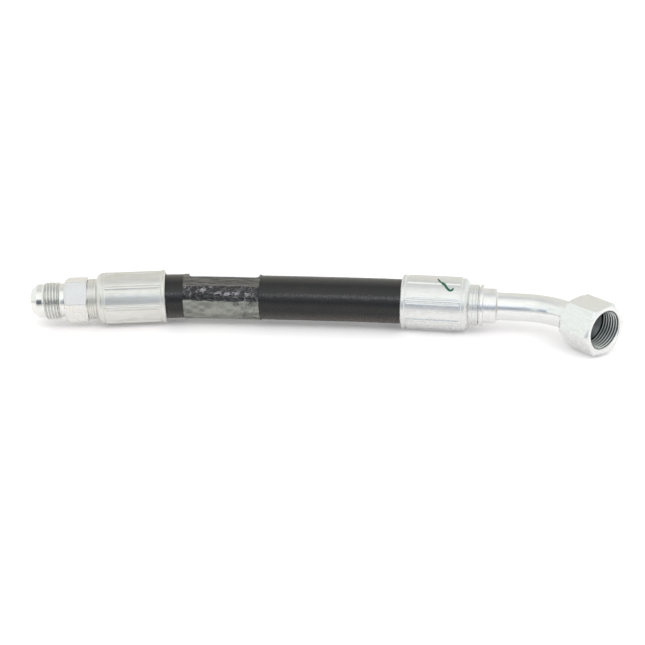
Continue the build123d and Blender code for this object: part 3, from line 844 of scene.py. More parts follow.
# ---- blank label over the film's top ---------------------------------------
def patch(name, s0, s1, psi0, psi1, r0, r1, corner, rows, cols):
    """A thin closed patch round part of the hose, with rounded corners. psi in degrees."""
    a = np.linspace(-1, 1, rows)
    b = np.linspace(-1, 1, cols)
    A, B = np.meshgrid(a, b, indexing="ij")
    S = (s0 + s1) / 2 + A * (s1 - s0) / 2
    PSI = (psi0 + psi1) / 2 + B * (psi1 - psi0) / 2
    w, h = (s1 - s0) / 2, math.radians(psi1 - psi0) / 2 * r1
    X, Y = A * w, B * h
    # pull the corners in
    dx, dy = np.abs(X) - (w - corner), np.abs(Y) - (h - corner)
    m = (dx > 0) & (dy > 0)
    d = np.hypot(np.where(m, dx, 0), np.where(m, dy, 0))
    mx = np.maximum(np.where(m, dx, 0), np.where(m, dy, 0))
    k = np.where(m & (d > 1e-9), mx / np.maximum(d, 1e-9), 1.0)
    X = np.where(m, np.sign(X) * (w - corner + dx * k), X)
    Y = np.where(m, np.sign(Y) * (h - corner + dy * k), Y)
    S = (s0 + s1) / 2 + X
    PSI = (psi0 + psi1) / 2 + np.degrees(Y / r1)
    TH = np.radians(90 - PSI)
    p, t = line_at(S.ravel() * MM)
    side = np.cross(t, UP)
    side /= np.linalg.norm(side, axis=1, keepdims=True)
    out, loc = [], []
    curl = 0.05 * np.exp(-((A.ravel() - 1) / 0.03) ** 2)
    for r in (r1 + curl, r0 + curl * 0.9):
        r = np.broadcast_to(r, TH.ravel().shape)
        c, s = np.cos(TH.ravel()), np.sin(TH.ravel())
        out.append(p + ((r * c)[:, None] * UP + (r * s)[:, None] * side) * MM)
        loc.append(np.stack([S.ravel(), r * c, r * s], -1))
    verts, loc = np.concatenate(out), np.concatenate(loc)
    idx = np.arange(rows * cols).reshape(rows, cols)
    q = np.stack([idx[:-1, :-1], idx[1:, :-1], idx[1:, 1:], idx[:-1, 1:]], -1).reshape(-1, 4)
    n = rows * cols
    rim = np.concatenate([idx[:, 0], idx[-1, 1:], idx[-2::-1, -1], idx[0, -2:0:-1]])
    nxt = np.roll(rim, -1)
    sides = np.stack([rim, rim + n, nxt + n, nxt], -1)
    quads = np.concatenate([q, (q + n)[:, ::-1], sides[:, ::-1]])
    pts = verts[quads]
    vol = np.einsum("ij,ij->i", pts[:, 0], np.cross(pts[:, 1], pts[:, 2])).sum()
    vol += np.einsum("ij,ij->i", pts[:, 0], np.cross(pts[:, 2], pts[:, 3])).sum()
    if vol < 0:
        quads = quads[:, ::-1]
    return raw_mesh(name, verts, quads, loc)


label = patch("blank_label", LIP_A + 17.0, LIP_A + 66.8, 79.0, 205.0, 16.02, 16.14, 2.4, 98, 56)
finish_piece(label, mat_label, "clear_film", None)

HOSE_PIECES = [cover, tube_layer, braid_1, insulation, braid_2, film, label]
for piece in HOSE_PIECES:
    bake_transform(piece)

path_points = [tuple(p) for p in line_at(np.linspace(0, ROUTE_LENGTH, 200))[0]]
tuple(path_points[6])

# =============================================================================
# Metal ends
# =============================================================================
MALE = frame_of(MALE_LIP, MALE_AXIS)
SWIVEL = frame_of(SWIVEL_LIP, SWIVEL_AXIS)
NUT = frame_of(NUT_REAR, NUT_AXIS)

RIB = 2.3


def ferrule(name, place, crimp_end, shoulder_end, neck_end, turn_deg, grooves, seed):
    turn = math.radians(turn_deg)
    step = math.pi / 4
    half = RIB / 2 / 18.5
    centres = [turn + k * step for k in range(8)]
    angles = ring_angles(240, centres, [half * x for x in
                                        (-2.6, -1.9, -1.4, -1.0, -0.7, -0.4, -0.15, 0.15, 0.4, 0.7, 1.0, 1.4, 1.9, 2.6)])
    outer = [
        (0.0, 16.55, 0.15), (0.05, 17.9, 0.5), (0.75, 18.78, 0.6), (2.3, 18.85, 0.5), (3.5, 18.45, 0.5),
        (crimp_end, 18.45, 0.3), (crimp_end + 0.35, 18.42, 0.0),
    ]
    run_out = crimp_end + 0.9
    for k in range(15):                                  # rounded shoulder
        a = math.radians(80.0 * k / 14)
        outer.append((run_out + (shoulder_end - run_out) * math.sin(a) ** 1.15 / math.sin(math.radians(80)) ** 1.15,
                      14.2 + 4.22 * math.cos(a), 0.0))
    outer += [(shoulder_end + 0.35, 14.2, 0.35)]
    for g in grooves:
        outer += [(g - 0.35, 14.2, 0.12), (g, 13.92, 0.12), (g + 0.35, 14.2, 0.12)]
    outer += [(neck_end, 14.2, 0.45), (neck_end, 11.05, 0.1), (39.0, 11.05, 0.1), (39.0, 15.95, 0.3), (4.0, 15.95, 0.3)]
    prof = rounded(outer, 4)
    prof = subdivide(prof, [(3.0, crimp_end + 1.2, 17.5, 19.5, 0.55),
                            (crimp_end - 0.4, crimp_end + 2.4, 17.0, 19.5, 0.15), (2.0, 5.0, 17.5, 19.5, 0.16)], 3.0)
    rs = np.random.RandomState(seed)
    depth = 0.30 + 0.05 * rs.rand(8)
    lean = 0.10 * (rs.rand(8) - 0.5)
    height = 18.86 + 0.03 * rs.rand(8)
    n1 = Grid(seed + 1, 128, 32)

    def mod(U, R, TH):
        rel = (TH - turn + step / 2) % (2 * np.pi)
        k = np.floor(rel / step).astype(int) % 8
        d = (rel % step) - step / 2                      # angle from the nearest rib
        x = np.clip(1 - np.abs(d) / (step / 2), 0, 1)    # 1 at the rib, 0 at the land's middle
        land = 18.50 - depth[k] * (1 - x) ** 0.9 * (1.0 - 0.35 * (1 - x)) + lean[k] * np.sin(d / step * 2 * np.pi) * 0.4
        a = np.abs(d) / half
        top = np.where(a < 1, np.cos(np.clip(a, 0, 1) * np.pi / 2) ** 0.55, 0)
        foot = 0.32 * np.exp(-((a - 1.32) / 0.30) ** 2)
        # ribs start and end with a rounded run-out
        run = smooth(3.3, 4.6, U) * (1 - smooth(crimp_end - 1.0, crimp_end + 0.05, U))
        crimp = smooth(3.0, 4.2, U) * (1 - smooth(crimp_end - 0.35, crimp_end + 0.25, U))
        edge = 0.08 * np.exp(-((U - crimp_end - 0.15) / 0.35) ** 2) - 0.40 * np.exp(-((U - crimp_end - 1.1) / 0.48) ** 2)
        new = 18.50 + (land - 18.50) * crimp + (height[k] - land) * top * run - foot * run
        new = new + 0.012 * n1(U / 2.0, TH / (2 * np.pi) * 32)
        outside = (R > 17.3) & (U > 3.0) & (U < crimp_end + 2.8)
        w = smooth(2.8, 3.6, U) * (1 - smooth(crimp_end + 0.3, crimp_end + 1.0, U))
        R2 = np.where(outside, R * (1 - w) + new * w + edge * w, R)
        R2 = np.where(outside, R2 + edge * (1 - w), R2)
        # a shallow turned line just behind the lip
        return U, np.where(R > 17.6, R2 - 0.30 * np.exp(-((U - 3.35) / 0.42) ** 2), R2)

    return turned(name, place, prof, angles, mod)


male_ferrule = ferrule("male_ferrule_visual", MALE, 42.0, 48.2, 54.0, -3.0, [50.0, 51.4, 52.7], 31)
finish_piece(male_ferrule, mat_male_ferrule, "zinc_plated_steel", "male_end", "male_ferrule")
swivel_ferrule = ferrule("swivel_ferrule_visual", SWIVEL, 40.8, 46.4, 52.7, 21.5, [48.8, 50.9], 41)
finish_piece(swivel_ferrule, mat_swivel_ferrule, "zinc_plated_steel", "swivel_end", "swivel_ferrule")


def barbs():
    out = []
    for i in range(6):
        u = 14.0 + 3.9 * i
        out += [(u, 9.28, 0.05), (u + 0.02, 8.86, 0.08), (u + 2.4, 9.28, 0.08)]
    return out


# ---- male stem --------------------------------------------------------------
MALE_TURN = math.radians(36.7)
HEX_A, HEX_B = 54.6, 70.3
THREAD_A, THREAD_B = 73.8, 84.6
nose_start = 93.6 - (11.8 - 8.70) / math.tan(math.radians(37))
male_profile = rounded(
    [(10.0, 7.92, 0.1), (10.0, 8.4, 0.15), (11.8, 9.3, 0.3)] + barbs() + [
        (39.2, 9.3, 0.2), (39.2, 10.88, 0.2), (50.8, 10.88, 0.2), (50.8, 10.35, 0.1), (54.05, 10.35, 0.1),
        (54.05, 12.9, 0.1), (HEX_A, 12.9, 0.1), (HEX_A, 17.2, 0.05), (HEX_B, 17.2, 0.05), (HEX_B, 11.8, 0.5),
        (THREAD_A, 11.8, 0.0), (THREAD_A + 0.05, 11.85, 0.0), (THREAD_B - 0.05, 11.85, 0.0), (THREAD_B, 11.8, 0.0),
        (nose_start, 11.8, 0.5), (93.6, 8.70, 0.45), (93.5, 8.45, 0.15), (93.05, 7.90, 0.1),
    ], 4)
male_profile = subdivide(male_profile, [
    (THREAD_A - 0.1, THREAD_B + 0.1, 11.5, 12.5, PITCH / 30),
    (HEX_A - 0.1, HEX_A + 2.0, 16.5, 18, 0.09), (HEX_B - 2.9, HEX_B + 0.1, 16.5, 18, 0.09),
    (HEX_A + 2.0, HEX_B - 2.9, 16.5, 18, 1.0), (HEX_A - 0.2, HEX_A + 0.2, 12.9, 17.3, 0.35),
    (HEX_B - 0.2, HEX_B + 0.2, 12.2, 17.3, 0.35)], 3.0)
_, MALE_PHIT = hex_radius(np.zeros(1), 28.58, MALE_TURN, 0.55)
_mn = Grid(51, 128, 48)


def male_mod(U, R, TH):
    hx, _ = hex_radius(TH, 28.52, MALE_TURN, 0.55)
    rear = 14.9 + (U - HEX_A) * 1.89
    front = 13.9 + (HEX_B - U) * 1.80
    lim = soft_min(soft_min(hx, rear, 0.22), front, 0.30)
    lim = lim + 0.010 * _mn(U / 1.5, TH / (2 * np.pi) * 48)
    hexzone = (U > HEX_A - 0.1) & (U < HEX_B + 0.1) & (R > 13.2)
    R = np.where(hexzone, np.minimum(R, lim), R)
    x = U / PITCH - TH / (2 * np.pi)
    th = 12.20 + thread_height(x, PITCH, DEPTH)
    ramp = np.minimum(11.8 + np.maximum(U - THREAD_A, 0) * 1.45, 11.8 + np.maximum(THREAD_B - U, 0) * 1.45)
    zone = (U > THREAD_A - 0.05) & (U < THREAD_B + 0.05) & (R > 11)
    return U, np.where(zone, np.maximum(11.8, soft_min(th, ramp, 0.12)), R)


male_stem = turned("male_stem_visual", MALE, male_profile, hex_angles(MALE_TURN, MALE_PHIT, 216), male_mod)
finish_piece(male_stem, mat_male_stem, "zinc_plated_steel", "male_end", "male_stem")

# ---- swivel stem ------------------------------------------------------------
stem_profile = rounded(
    [(10.0, 7.90, 0.1), (10.0, 8.4, 0.15), (11.8, 9.3, 0.3)] + barbs() + [
        (39.2, 9.3, 0.2), (39.2, 10.88, 0.2), (49.5, 10.88, 0.2), (49.5, 10.35, 0.1), (52.75, 10.35, 0.1),
        (52.75, 12.55, 0.1), (53.6, 12.55, 0.15), (53.6, 14.40, 0.55), (56.0, 14.40, 0.55), (56.0, 12.0, 0.35),
        (64.8, 12.0, 0.55), (64.8, 9.56, 0.1), (57.0, 9.56, 0.1), (57.0, 7.90, 0.1),
    ], 5)
stem_profile = subdivide(stem_profile, [], 2.5)
swivel_stem = turned("swivel_stem_visual", SWIVEL, stem_profile, ring_angles(160))
finish_piece(swivel_stem, mat_swivel_stem, "zinc_plated_steel", "swivel_end", "swivel_stem")


# ---- bent tube --------------------------------------------------------------
def bent_tube():
    bend, radius = math.radians(45), 43.0
    start, tangent = 57.05, 83.5
    stations = []                                        # (position, direction, bend share)
    o = SWIVEL_LIP / MM
    for u in np.linspace(start, tangent, 20):
        stations.append((o + SWIVEL_AXIS * u, SWIVEL_AXIS, 0.0))
    for a in np.linspace(0, bend, 49)[1:]:
        p = o + SWIVEL_AXIS * (tangent + radius * math.sin(a)) + SIDE_DIR * radius * (1 - math.cos(a))
        d = SWIVEL_AXIS * math.cos(a) + SIDE_DIR * math.sin(a)
        stations.append((p, d, math.sin(math.pi * a / bend) ** 0.6))
    end = NUT_REAR / MM
    for w in np.linspace(-6.2, 7.4, 14)[1:]:
        stations.append((end + NUT_AXIS * w, NUT_AXIS, 0.0))
    n = len(stations)
    th = np.linspace(0, 2 * np.pi, 96, endpoint=False)
    order = list(range(n)) + list(range(n - 1, -1, -1))
    rows, locs = [], []
    run = np.concatenate([[0], np.cumsum([np.linalg.norm(stations[i + 1][0] - stations[i][0]) for i in range(n - 1)])])
    for j, i in enumerate(order):
        p, d, share = stations[i]
        side = np.cross(d, UP)
        r = 9.525 if j < n else 7.90
        if j in (0, n - 1):
            r -= 0.25
        # the bend leaves the tube very slightly oval, thinner in the plane of the bend
        flat = 1 - 0.012 * share * (1 if j < n else 1.2)
        c, s = r * np.cos(th) * (1 + 0.006 * share), r * np.sin(th) * flat
        rows.append(p + c[:, None] * UP + s[:, None] * side)
        locs.append(np.stack([np.full_like(th, run[i]), c, s], -1))
    return mesh_from_grid("bent_tube_visual", np.array(rows) * MM, np.array(locs))


tube = bent_tube()
finish_piece(tube, mat_tube, "zinc_plated_steel", "swivel_end", "bent_tube")

# ---- braze fillet -----------------------------------------------------------
_bn = Grid(61, 64, 40)


def braze_mod(U, R, TH):
    w = 0.10 * _bn(TH * 0 + 3.3, TH / (2 * np.pi) * 40)
    out = (R > 9.7) | (U > 65.2)
    return np.where(out & (U > 64.9), U + w, U), np.where(out, R + 0.5 * w, R)


braze_profile = rounded([(64.82, 9.56, 0.02), (66.0, 9.56, 0.05), (65.5, 9.85, 0.3), (65.05, 10.3, 0.3),
                         (64.82, 10.95, 0.05)], 3)
braze = turned("socket_braze_ring_visual", SWIVEL, braze_profile, ring_angles(120), braze_mod)
finish_piece(braze, mat_braze, "braze_alloy", "swivel_end", "socket_braze_ring")

# ---- seat sleeve ------------------------------------------------------------
seat_depth = (11.0 - 7.90) / math.tan(math.radians(37))
seat_profile = rounded([
    (2.9, 9.56, 0.1), (2.9, 11.2, 0.4), (5.5, 11.2, 0.15), (5.5, 10.2, 0.3), (7.5, 10.2, 0.3), (7.5, 11.2, 0.15),
    (8.5, 11.2, 0.15), (8.5, 12.2, 0.2), (11.6, 12.2, 0.5), (11.6, 11.0, 0.15), (11.6 - seat_depth, 7.90, 0.2),
    (7.42, 7.90, 0.05), (7.42, 9.56, 0.05),
], 4)
seat = turned("flare_seat_sleeve_visual", NUT, subdivide(seat_profile, [], 1.0), ring_angles(140))
finish_piece(seat, mat_seat_painted_shade, "zinc_plated_steel", "swivel_end", "flare_seat_sleeve")

# ---- swivel nut -------------------------------------------------------------
NUT_TURN = math.radians(-25.0)
nut_profile = rounded([
    (0.0, 9.85, 0.25), (0.0, 19.0, 0.05), (25.4, 19.0, 0.05), (25.4, 13.6, 0.12), (24.35, 12.55, 0.0),
    (11.85, 12.55, 0.0), (11.8, 13.69, 0.1), (8.2, 13.69, 0.2), (8.2, 11.25, 0.2), (7.5, 11.25, 0.1),
    (7.5, 12.2, 0.3), (5.5, 12.2, 0.3), (5.5, 11.25, 0.1), (2.6, 11.25, 0.2), (2.6, 9.85, 0.2),
], 4)
nut_profile = subdivide(nut_profile, [
    (11.8, 24.6, 12.0, 13.2, PITCH / 30), (-0.1, 3.0, 18, 20, 0.10), (22.0, 25.5, 18, 20, 0.10),
    (3.0, 22.0, 18, 20, 1.2), (-0.1, 0.1, 9.5, 19.5, 0.6), (25.3, 25.5, 13.7, 19.5, 0.5)], 3.0)
_, NUT_PHIT = hex_radius(np.zeros(1), 31.75, NUT_TURN, 0.6)
_nn = Grid(71, 128, 48)


def nut_mod(U, R, TH):
    hx, _ = hex_radius(TH, 31.70, NUT_TURN, 0.6)
    rear = 16.3 + U * 1.77
    front = 15.9 + (25.4 - U) * 1.80
    lim = soft_min(soft_min(hx, rear, 0.25), front, 0.25)
    lim = lim + 0.010 * _nn(U / 1.5, TH / (2 * np.pi) * 48)
    hexzone = R > 14.3
    R = np.where(hexzone, np.minimum(R, lim), R)
    x = U / PITCH - TH / (2 * np.pi)
    cut = 12.55 + 1.20 - thread_height(x, PITCH, 1.20)
    mouth = 12.55 + np.maximum(U - 24.35, 0)
    zone = (U > 11.84) & (U < 24.36) & (R > 12.0) & (R < 13.0)
    fade = smooth(24.4, 23.7, U)
    return U, np.where(zone, np.maximum(12.55 + (cut - 12.55) * np.maximum(fade, 0), mouth), R)


nut = turned("swivel_nut_visual", NUT, nut_profile, hex_angles(NUT_TURN, NUT_PHIT, 216), nut_mod)
finish_piece(nut, mat_nut, "zinc_plated_steel", "nut", "swivel_nut")

# ---- retaining wire: a ring with its two ends meeting at a small gap --------
def wire_ring():
    """Round wire bent into an open ring, with domed ends."""
    gap = math.radians(3.0)
    o, ax, e1, e2 = NUT
    th = np.linspace(gap, 2 * math.pi - gap, 120)
    th = np.concatenate([[th[0] - 0.018, th[0] - 0.012], th, [th[-1] + 0.012, th[-1] + 0.018]])
    rad = np.full(len(th), 0.93)
    rad[[0, -1]], rad[[1, -2]] = 0.45, 0.80
    k = 16
    ph = np.linspace(0, 2 * np.pi, k, endpoint=False)
    verts, loc = [], []
    for t, r in zip(th, rad):
        for p in ph:
            u, q = 6.5 + r * math.cos(p), 11.20 + r * math.sin(p)
            verts.append((o + (ax * u + e1 * q * math.cos(t) + e2 * q * math.sin(t)) * MM))
            loc.append((11.2 * t, r * math.cos(p), r * math.sin(p)))
    n = len(th)
    idx = np.arange(n * k).reshape(n, k)
    q = np.stack([idx[:-1], np.roll(idx, -1, 1)[:-1], np.roll(idx, -1, 1)[1:], idx[1:]], -1).reshape(-1, 4)
    me = bpy.data.meshes.new("nut_retaining_wire_visual")
    faces = [tuple(int(v) for v in f) for f in q] + [tuple(int(v) for v in idx[0][::-1]), tuple(int(v) for v in idx[-1])]
    me.from_pydata([tuple(v) for v in verts], [], faces)
    at = me.attributes.new("local", "FLOAT_VECTOR", "POINT")
    at.data.foreach_set("vector", np.array(loc, np.float32).ravel())
    me.polygons.foreach_set("use_smooth", np.ones(len(me.polygons), bool))
    ob = bpy.data.objects.new("nut_retaining_wire_visual", me)
    scene.collection.objects.link(ob)
    import bmesh
    bm = bmesh.new()
    bm.from_mesh(me)
    bmesh.ops.recalc_face_normals(bm, faces=bm.faces)
    bm.to_mesh(me)
    bm.free()
    return ob


wire = wire_ring()
finish_piece(wire, mat_wire, "spring_wire", "nut", "nut_retaining_wire")


# ---- paint mark on the swivel ferrule --------------------------------------
def paint_mark():
    """A thin brushed line on the ferrule's lands. (u in mm, angle above the camera side in degrees)."""
    knots = np.array([(24.4, 85.0), (25.6, 77.5), (26.9, 71.0), (28.6, 66.2), (29.8, 63.2), (30.6, 59.2),
                      (31.6, 54.8), (32.7, 51.2), (33.9, 49.8), (35.0, 51.4), (35.8, 56.0)])
    t = np.linspace(0, len(knots) - 1, 90)
    i = np.clip(t.astype(int), 0, len(knots) - 2)
    f = t - i
    kk = np.vstack([2 * knots[0] - knots[1], knots, 2 * knots[-1] - knots[-2]])
    p0, p1, p2, p3 = kk[i], kk[i + 1], kk[i + 2], kk[i + 3]
    f = f[:, None]
    c = 0.5 * ((2 * p1) + (-p0 + p2) * f + (2 * p0 - 5 * p1 + 4 * p2 - p3) * f**2 + (-p0 + 3 * p1 - 3 * p2 + p3) * f**3)
    arc = np.stack([c[:, 0], np.radians(c[:, 1]) * 18.4], -1)
    d = np.gradient(arc, axis=0)
    d /= np.linalg.norm(d, axis=1, keepdims=True)
    nrm = np.stack([-d[:, 1], d[:, 0]], -1)
    rs = np.random.RandomState(5)
    x = np.linspace(0, 1, len(c))
    width = 0.42 + 0.50 * np.sin(np.pi * np.clip(x * 1.05, 0, 1)) ** 0.5 + 0.16 * smooth(0.35, 0.95, x)
    width *= 1 + 0.10 * np.interp(x, np.linspace(0, 1, 16), rs.rand(16) - 0.5)
    width[0], width[-1] = 0.08, 0.14
    cols = 9
    rows = len(c)
    across = np.linspace(-1, 1, cols)
    A = arc[:, None, :] + nrm[:, None, :] * (width[:, None] * across[None, :])[..., None] * 0.95
    U, PS = A[..., 0], A[..., 1] / 18.4
    TH = np.pi / 2 - PS
    # sit on the ferrule's real surface
    from mathutils.bvhtree import BVHTree
    me = swivel_ferrule.data
    tree = BVHTree.FromPolygons([v.co for v in me.vertices], [list(p.vertices) for p in me.polygons])
    o, ax, e1, e2 = SWIVEL
    dirs = np.cos(TH)[..., None] * e1 + np.sin(TH)[..., None] * e2
    base = o + ax * (U * MM)[..., None]
    R = np.empty_like(U)
    for a in range(rows):
        for b in range(cols):
            far = base[a, b] + dirs[a, b] * 0.03
            hit = tree.ray_cast(Vector(far), Vector(-dirs[a, b]), 0.03)
            R[a, b] = (hit[0] - Vector(base[a, b])).length / MM if hit[0] is not None else 18.4
    dome = np.sqrt(np.clip(1 - across**2, 0, 1))[None, :] * np.clip(width / 0.5, 0.3, 1)[:, None]
    top = base + dirs * ((R + 0.02 + 0.10 * dome) * MM)[..., None]
    low = base + dirs * ((R - 0.05) * MM)[..., None]
    verts = np.concatenate([top.reshape(-1, 3), low.reshape(-1, 3)])
    loc = np.concatenate([np.stack([U, PS * 18.4, R], -1).reshape(-1, 3)] * 2)
    idx = np.arange(rows * cols).reshape(rows, cols)
    q = np.stack([idx[:-1, :-1], idx[1:, :-1], idx[1:, 1:], idx[:-1, 1:]], -1).reshape(-1, 4)
    n = rows * cols
    rim = np.concatenate([idx[:, 0], idx[-1, 1:], idx[-2::-1, -1], idx[0, -2:0:-1]])
    nxt = np.roll(rim, -1)
    sides = np.stack([rim, rim + n, nxt + n, nxt], -1)
    quads = np.concatenate([q, (q + n)[:, ::-1], sides[:, ::-1]])
    pts = verts[quads]
    vol = np.einsum("ij,ij->i", pts[:, 0], np.cross(pts[:, 1], pts[:, 2])).sum()
    vol += np.einsum("ij,ij->i", pts[:, 0], np.cross(pts[:, 2], pts[:, 3])).sum()
    if vol < 0:
        quads = quads[:, ::-1]
    return raw_mesh("paint_mark", verts, quads, loc)


mark = paint_mark()
finish_piece(mark, mat_paint, "zinc_plated_steel", "swivel_end")


# =============================================================================
# Floor, world, lights
# =============================================================================
def floor():
    me = bpy.data.meshes.new("floor")
    s = 9.0
    me.from_pydata([(-s, -s, 0), (s, -s, 0), (s, s, 0), (-s, s, 0)], [], [(0, 1, 2, 3)])
    ob = bpy.data.objects.new("floor", me)
    scene.collection.objects.link(ob)
    m = Nodes("floor_paper")
    m.bsdf.inputs["Base Color"].default_value = (0.905, 0.885, 0.895, 1)
    m.bsdf.inputs["Roughness"].default_value = 1.0
    m.bsdf.inputs["Specular IOR Level"].default_value = 0.0
    m.bsdf.inputs["Emission Color"].default_value = (1.0, 0.99, 1.0, 1)
    m.bsdf.inputs["Emission Strength"].default_value = 0.125
    me.materials.append(m.mat)
    ob.location.z = -0.0001


floor()


def glossy_only(ob):
    ob.visible_camera = False
    ob.visible_diffuse = False
    ob.visible_shadow = False
    ob.visible_transmission = False
    ob.visible_volume_scatter = False


def flag(name, verts, coord, stops_color, stops_alpha):
    """A soft-edged card that only polished surfaces see, as a photographer sets beside shiny metal.
    coord is (a, b, c, d): the gradient runs along a x + b y + c z + d."""
    me = bpy.data.meshes.new(name)
    me.from_pydata(verts, [], [(0, 1, 2, 3)])
    ob = bpy.data.objects.new(name, me)
    scene.collection.objects.link(ob)
    mat = bpy.data.materials.new(name)
    mat.use_nodes = True
    t = mat.node_tree
    t.nodes.clear()
    geo = t.nodes.new("ShaderNodeNewGeometry")

    def gradient(coord, stops):
        dot = t.nodes.new("ShaderNodeVectorMath")
        dot.operation = "DOT_PRODUCT"
        t.links.new(geo.outputs["Position"], dot.inputs[0])
        dot.inputs[1].default_value = coord[:3]
        add = t.nodes.new("ShaderNodeMath")
        add.operation = "ADD"
        t.links.new(dot.outputs["Value"], add.inputs[0])
        add.inputs[1].default_value = coord[3]
        r = t.nodes.new("ShaderNodeValToRGB")
        cr = r.color_ramp
        while len(cr.elements) < len(stops):
            cr.elements.new(0.5)
        for e, (p, c) in zip(cr.elements, stops):
            e.position, e.color = p, (*c, 1)
        t.links.new(add.outputs[0], r.inputs[0])
        return r.outputs[0]

    em = t.nodes.new("ShaderNodeEmission")
    t.links.new(gradient(coord, stops_color), em.inputs[0])
    em.inputs[1].default_value = 1.0
    clear = t.nodes.new("ShaderNodeBsdfTransparent")
    mix = t.nodes.new("ShaderNodeMixShader")
    alpha = None
    for c, st in stops_alpha:
        g = gradient(c, [(p, (v, v, v)) for p, v in st])
        if alpha is None:
            alpha = g
        else:
            mul = t.nodes.new("ShaderNodeMath")
            mul.operation = "MULTIPLY"
            t.links.new(alpha, mul.inputs[0])
            t.links.new(g, mul.inputs[1])
            alpha = mul.outputs[0]
    t.links.new(alpha, mix.inputs[0])
    t.links.new(clear.outputs[0], mix.inputs[1])
    t.links.new(em.outputs[0], mix.inputs[2])
    out = t.nodes.new("ShaderNodeOutputMaterial")
    t.links.new(mix.outputs[0], out.inputs[0])
    me.materials.append(mat)
    glossy_only(ob)
    return ob


# the table falls into shade in front of the object
ACROSS = (-0.17, -1.0, 0.0, 0.0165)
flag("front_shade", [(-3, -3, 0.0002), (3, -3, 0.0002), (3, 0.1, 0.0002), (-3, 0.1, 0.0002)], ACROSS,
     [(0.0, (1.0, 1.0, 1.0)), (0.07, (1.0, 1.0, 1.0)), (0.11, (0.86, 0.87, 0.88)), (0.20, (0.64, 0.66, 0.71)),
      (0.40, (0.46, 0.50, 0.59)), (1.0, (0.42, 0.46, 0.55))],
     [(ACROSS, [(0.0, 0.0), (0.045, 0.0), (0.085, 1.0)]), ((-1.0, 0, 0, 0.215), [(0.0, 0.0), (0.030, 1.0)])])
# a darker card in front of the male end
flag("front_card", [(-0.54, -0.40, 0.0), (-0.15, -0.40, 0.0), (-0.15, -0.40, 0.34), (-0.54, -0.40, 0.34)],
     (0, 0, 1.0, 0.0), [(0.0, (0.13, 0.15, 0.175)), (0.16, (0.17, 0.195, 0.23)), (0.32, (0.60, 0.64, 0.66))],
     [((-1.0, 0, 0, -0.205), [(0.0, 0.0), (0.040, 1.0)]), ((0, 0, 1.0, 0), [(0.0, 1.0), (0.18, 1.0), (0.34, 0.0)])])
# the tent's own tone on a return that keeps that card out of the bent tube
flag("card_return", [(-0.203, -0.40, 0.0), (-0.203, -0.19, 0.0), (-0.203, -0.19, 0.34), (-0.203, -0.40, 0.34)],
     (0, 0, 1.0, 0.0), [(0.0, (0.46, 0.50, 0.59)), (0.06, (0.43, 0.47, 0.55)), (0.14, (0.72, 0.79, 0.86)),
                        (0.21, (1.10, 1.18, 1.26)), (0.28, (1.34, 1.37, 1.40))],
     [((0, 0, 1.0, 0), [(0.0, 1.0), (0.28, 1.0), (0.34, 0.0)])])


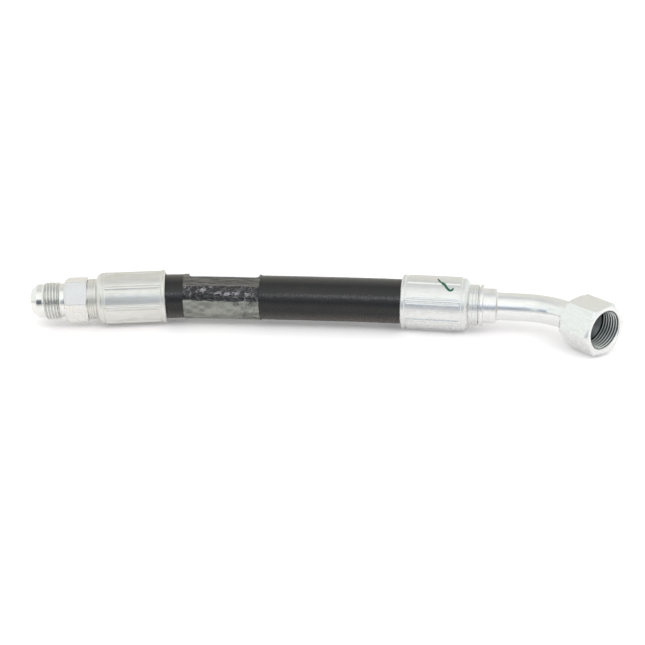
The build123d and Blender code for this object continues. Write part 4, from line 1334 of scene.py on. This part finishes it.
def world():
    """A white tent: bright above and in front, a darker band at the horizon, grey behind."""
    w = bpy.data.worlds.new("tent")
    scene.world = w
    w.use_nodes = True
    t = w.node_tree
    t.nodes.clear()
    out = t.nodes.new("ShaderNodeOutputWorld")
    geo = t.nodes.new("ShaderNodeTexCoord")
    sep = t.nodes.new("ShaderNodeSeparateXYZ")
    t.links.new(geo.outputs["Generated"], sep.inputs[0])
    neg = t.nodes.new("ShaderNodeMath")
    neg.operation = "MULTIPLY"
    neg.inputs[1].default_value = -1
    t.links.new(sep.outputs["Y"], neg.inputs[0])
    ang = t.nodes.new("ShaderNodeMath")
    ang.operation = "ARCTAN2"
    t.links.new(sep.outputs["Z"], ang.inputs[0])
    t.links.new(neg.outputs[0], ang.inputs[1])
    rng = t.nodes.new("ShaderNodeMapRange")
    rng.inputs[1].default_value = -math.pi / 2
    rng.inputs[2].default_value = math.pi * 1.5
    t.links.new(ang.outputs[0], rng.inputs[0])
    # angle from the camera side's horizon (0) over the top (90) to the far horizon (180)
    ramp = t.nodes.new("ShaderNodeValToRGB")
    t.links.new(rng.outputs[0], ramp.inputs[0])
    stops = [
        (-80, (0.9, 0.9, 0.9)), (-6, (0.62, 0.64, 0.68)), (-2, (0.46, 0.50, 0.59)), (7, (0.43, 0.47, 0.55)),
        (17, (0.72, 0.79, 0.86)), (25, (1.10, 1.18, 1.26)), (32, (1.34, 1.37, 1.40)), (44, (1.28, 1.30, 1.28)),
        (70, (1.20, 1.21, 1.18)), (84, (1.00, 1.02, 1.02)), (93, (0.82, 0.83, 0.86)), (104, (0.80, 0.81, 0.83)),
        (122, (0.92, 0.92, 0.88)), (160, (0.90, 0.89, 0.84)), (180, (0.95, 0.94, 0.90)), (250, (0.9, 0.9, 0.9)),
    ]
    cr = ramp.color_ramp
    while len(cr.elements) < len(stops):
        cr.elements.new(0.5)
    for e, (a, c) in zip(cr.elements, stops):
        e.position = (a + 90) / 360
        e.color = (*c, 1)
    # towards the two ends of the object the tent is evenly lit
    side = t.nodes.new("ShaderNodeValToRGB")
    sx = t.nodes.new("ShaderNodeMapRange")
    sx.inputs[1].default_value, sx.inputs[2].default_value = -1.0, 1.0
    t.links.new(sep.outputs["Z"], sx.inputs[0])
    t.links.new(sx.outputs[0], side.inputs[0])
    cr = side.color_ramp
    for p in (0.3, 0.5):
        cr.elements.new(p)
    for e, (p, c) in zip(cr.elements, [(0.0, (0.8, 0.8, 0.8)), (0.47, (0.86, 0.88, 0.86)), (0.56, (1.06, 1.11, 1.08)), (1.0, (1.12, 1.14, 1.12))]):
        e.position, e.color = p, (*c, 1)
    ax = t.nodes.new("ShaderNodeMath")
    ax.operation = "ABSOLUTE"
    t.links.new(sep.outputs["X"], ax.inputs[0])
    wx = t.nodes.new("ShaderNodeMapRange")
    wx.interpolation_type = "SMOOTHSTEP"
    wx.inputs[1].default_value, wx.inputs[2].default_value = 0.30, 0.72
    t.links.new(ax.outputs[0], wx.inputs[0])
    tone = t.nodes.new("ShaderNodeMix")
    tone.data_type = "RGBA"
    t.links.new(wx.outputs[0], tone.inputs[0])
    t.links.new(ramp.outputs[0], tone.inputs[6])
    t.links.new(side.outputs[0], tone.inputs[7])
    bg = t.nodes.new("ShaderNodeBackground")
    t.links.new(tone.outputs[2], bg.inputs[0])
    bg.inputs[1].default_value = 1.0
    white = t.nodes.new("ShaderNodeBackground")
    white.inputs[0].default_value = (1, 1, 1, 1)
    white.inputs[1].default_value = 1.15
    lp = t.nodes.new("ShaderNodeLightPath")
    mix = t.nodes.new("ShaderNodeMixShader")
    t.links.new(lp.outputs["Is Camera Ray"], mix.inputs[0])
    t.links.new(bg.outputs[0], mix.inputs[1])
    t.links.new(white.outputs[0], mix.inputs[2])
    t.links.new(mix.outputs[0], out.inputs[0])


world()


def lamp(name, place, target, size, energy, color):
    data = bpy.data.lights.new(name, "AREA")
    data.shape = "RECTANGLE"
    data.size, data.size_y = size
    data.energy = energy
    data.color = color
    ob = bpy.data.objects.new(name, data)
    ob.location = place
    ob.rotation_euler = (Vector(target) - Vector(place)).to_track_quat("-Z", "Y").to_euler()
    ob.visible_camera = False
    scene.collection.objects.link(ob)
    return ob


top = lamp("overhead", (0.1, -0.95, 1.25), (0, 0, 0), (1.6, 0.8), 7.0, (1.0, 0.99, 0.98))
top.visible_glossy = False

# a long narrow lamp that gives the dark hose its one soft highlight; it lights the hose alone
strip = lamp("hose_strip", (0.0, -0.92, 0.66), (0, 0.02, 0.02), (1.8, 0.10), 3.6, (0.93, 0.93, 1.0))
hose_only = bpy.data.collections.new("hose_only")
for piece in (cover, film):
    hose_only.objects.link(piece)
strip.light_linking.receiver_collection = hose_only
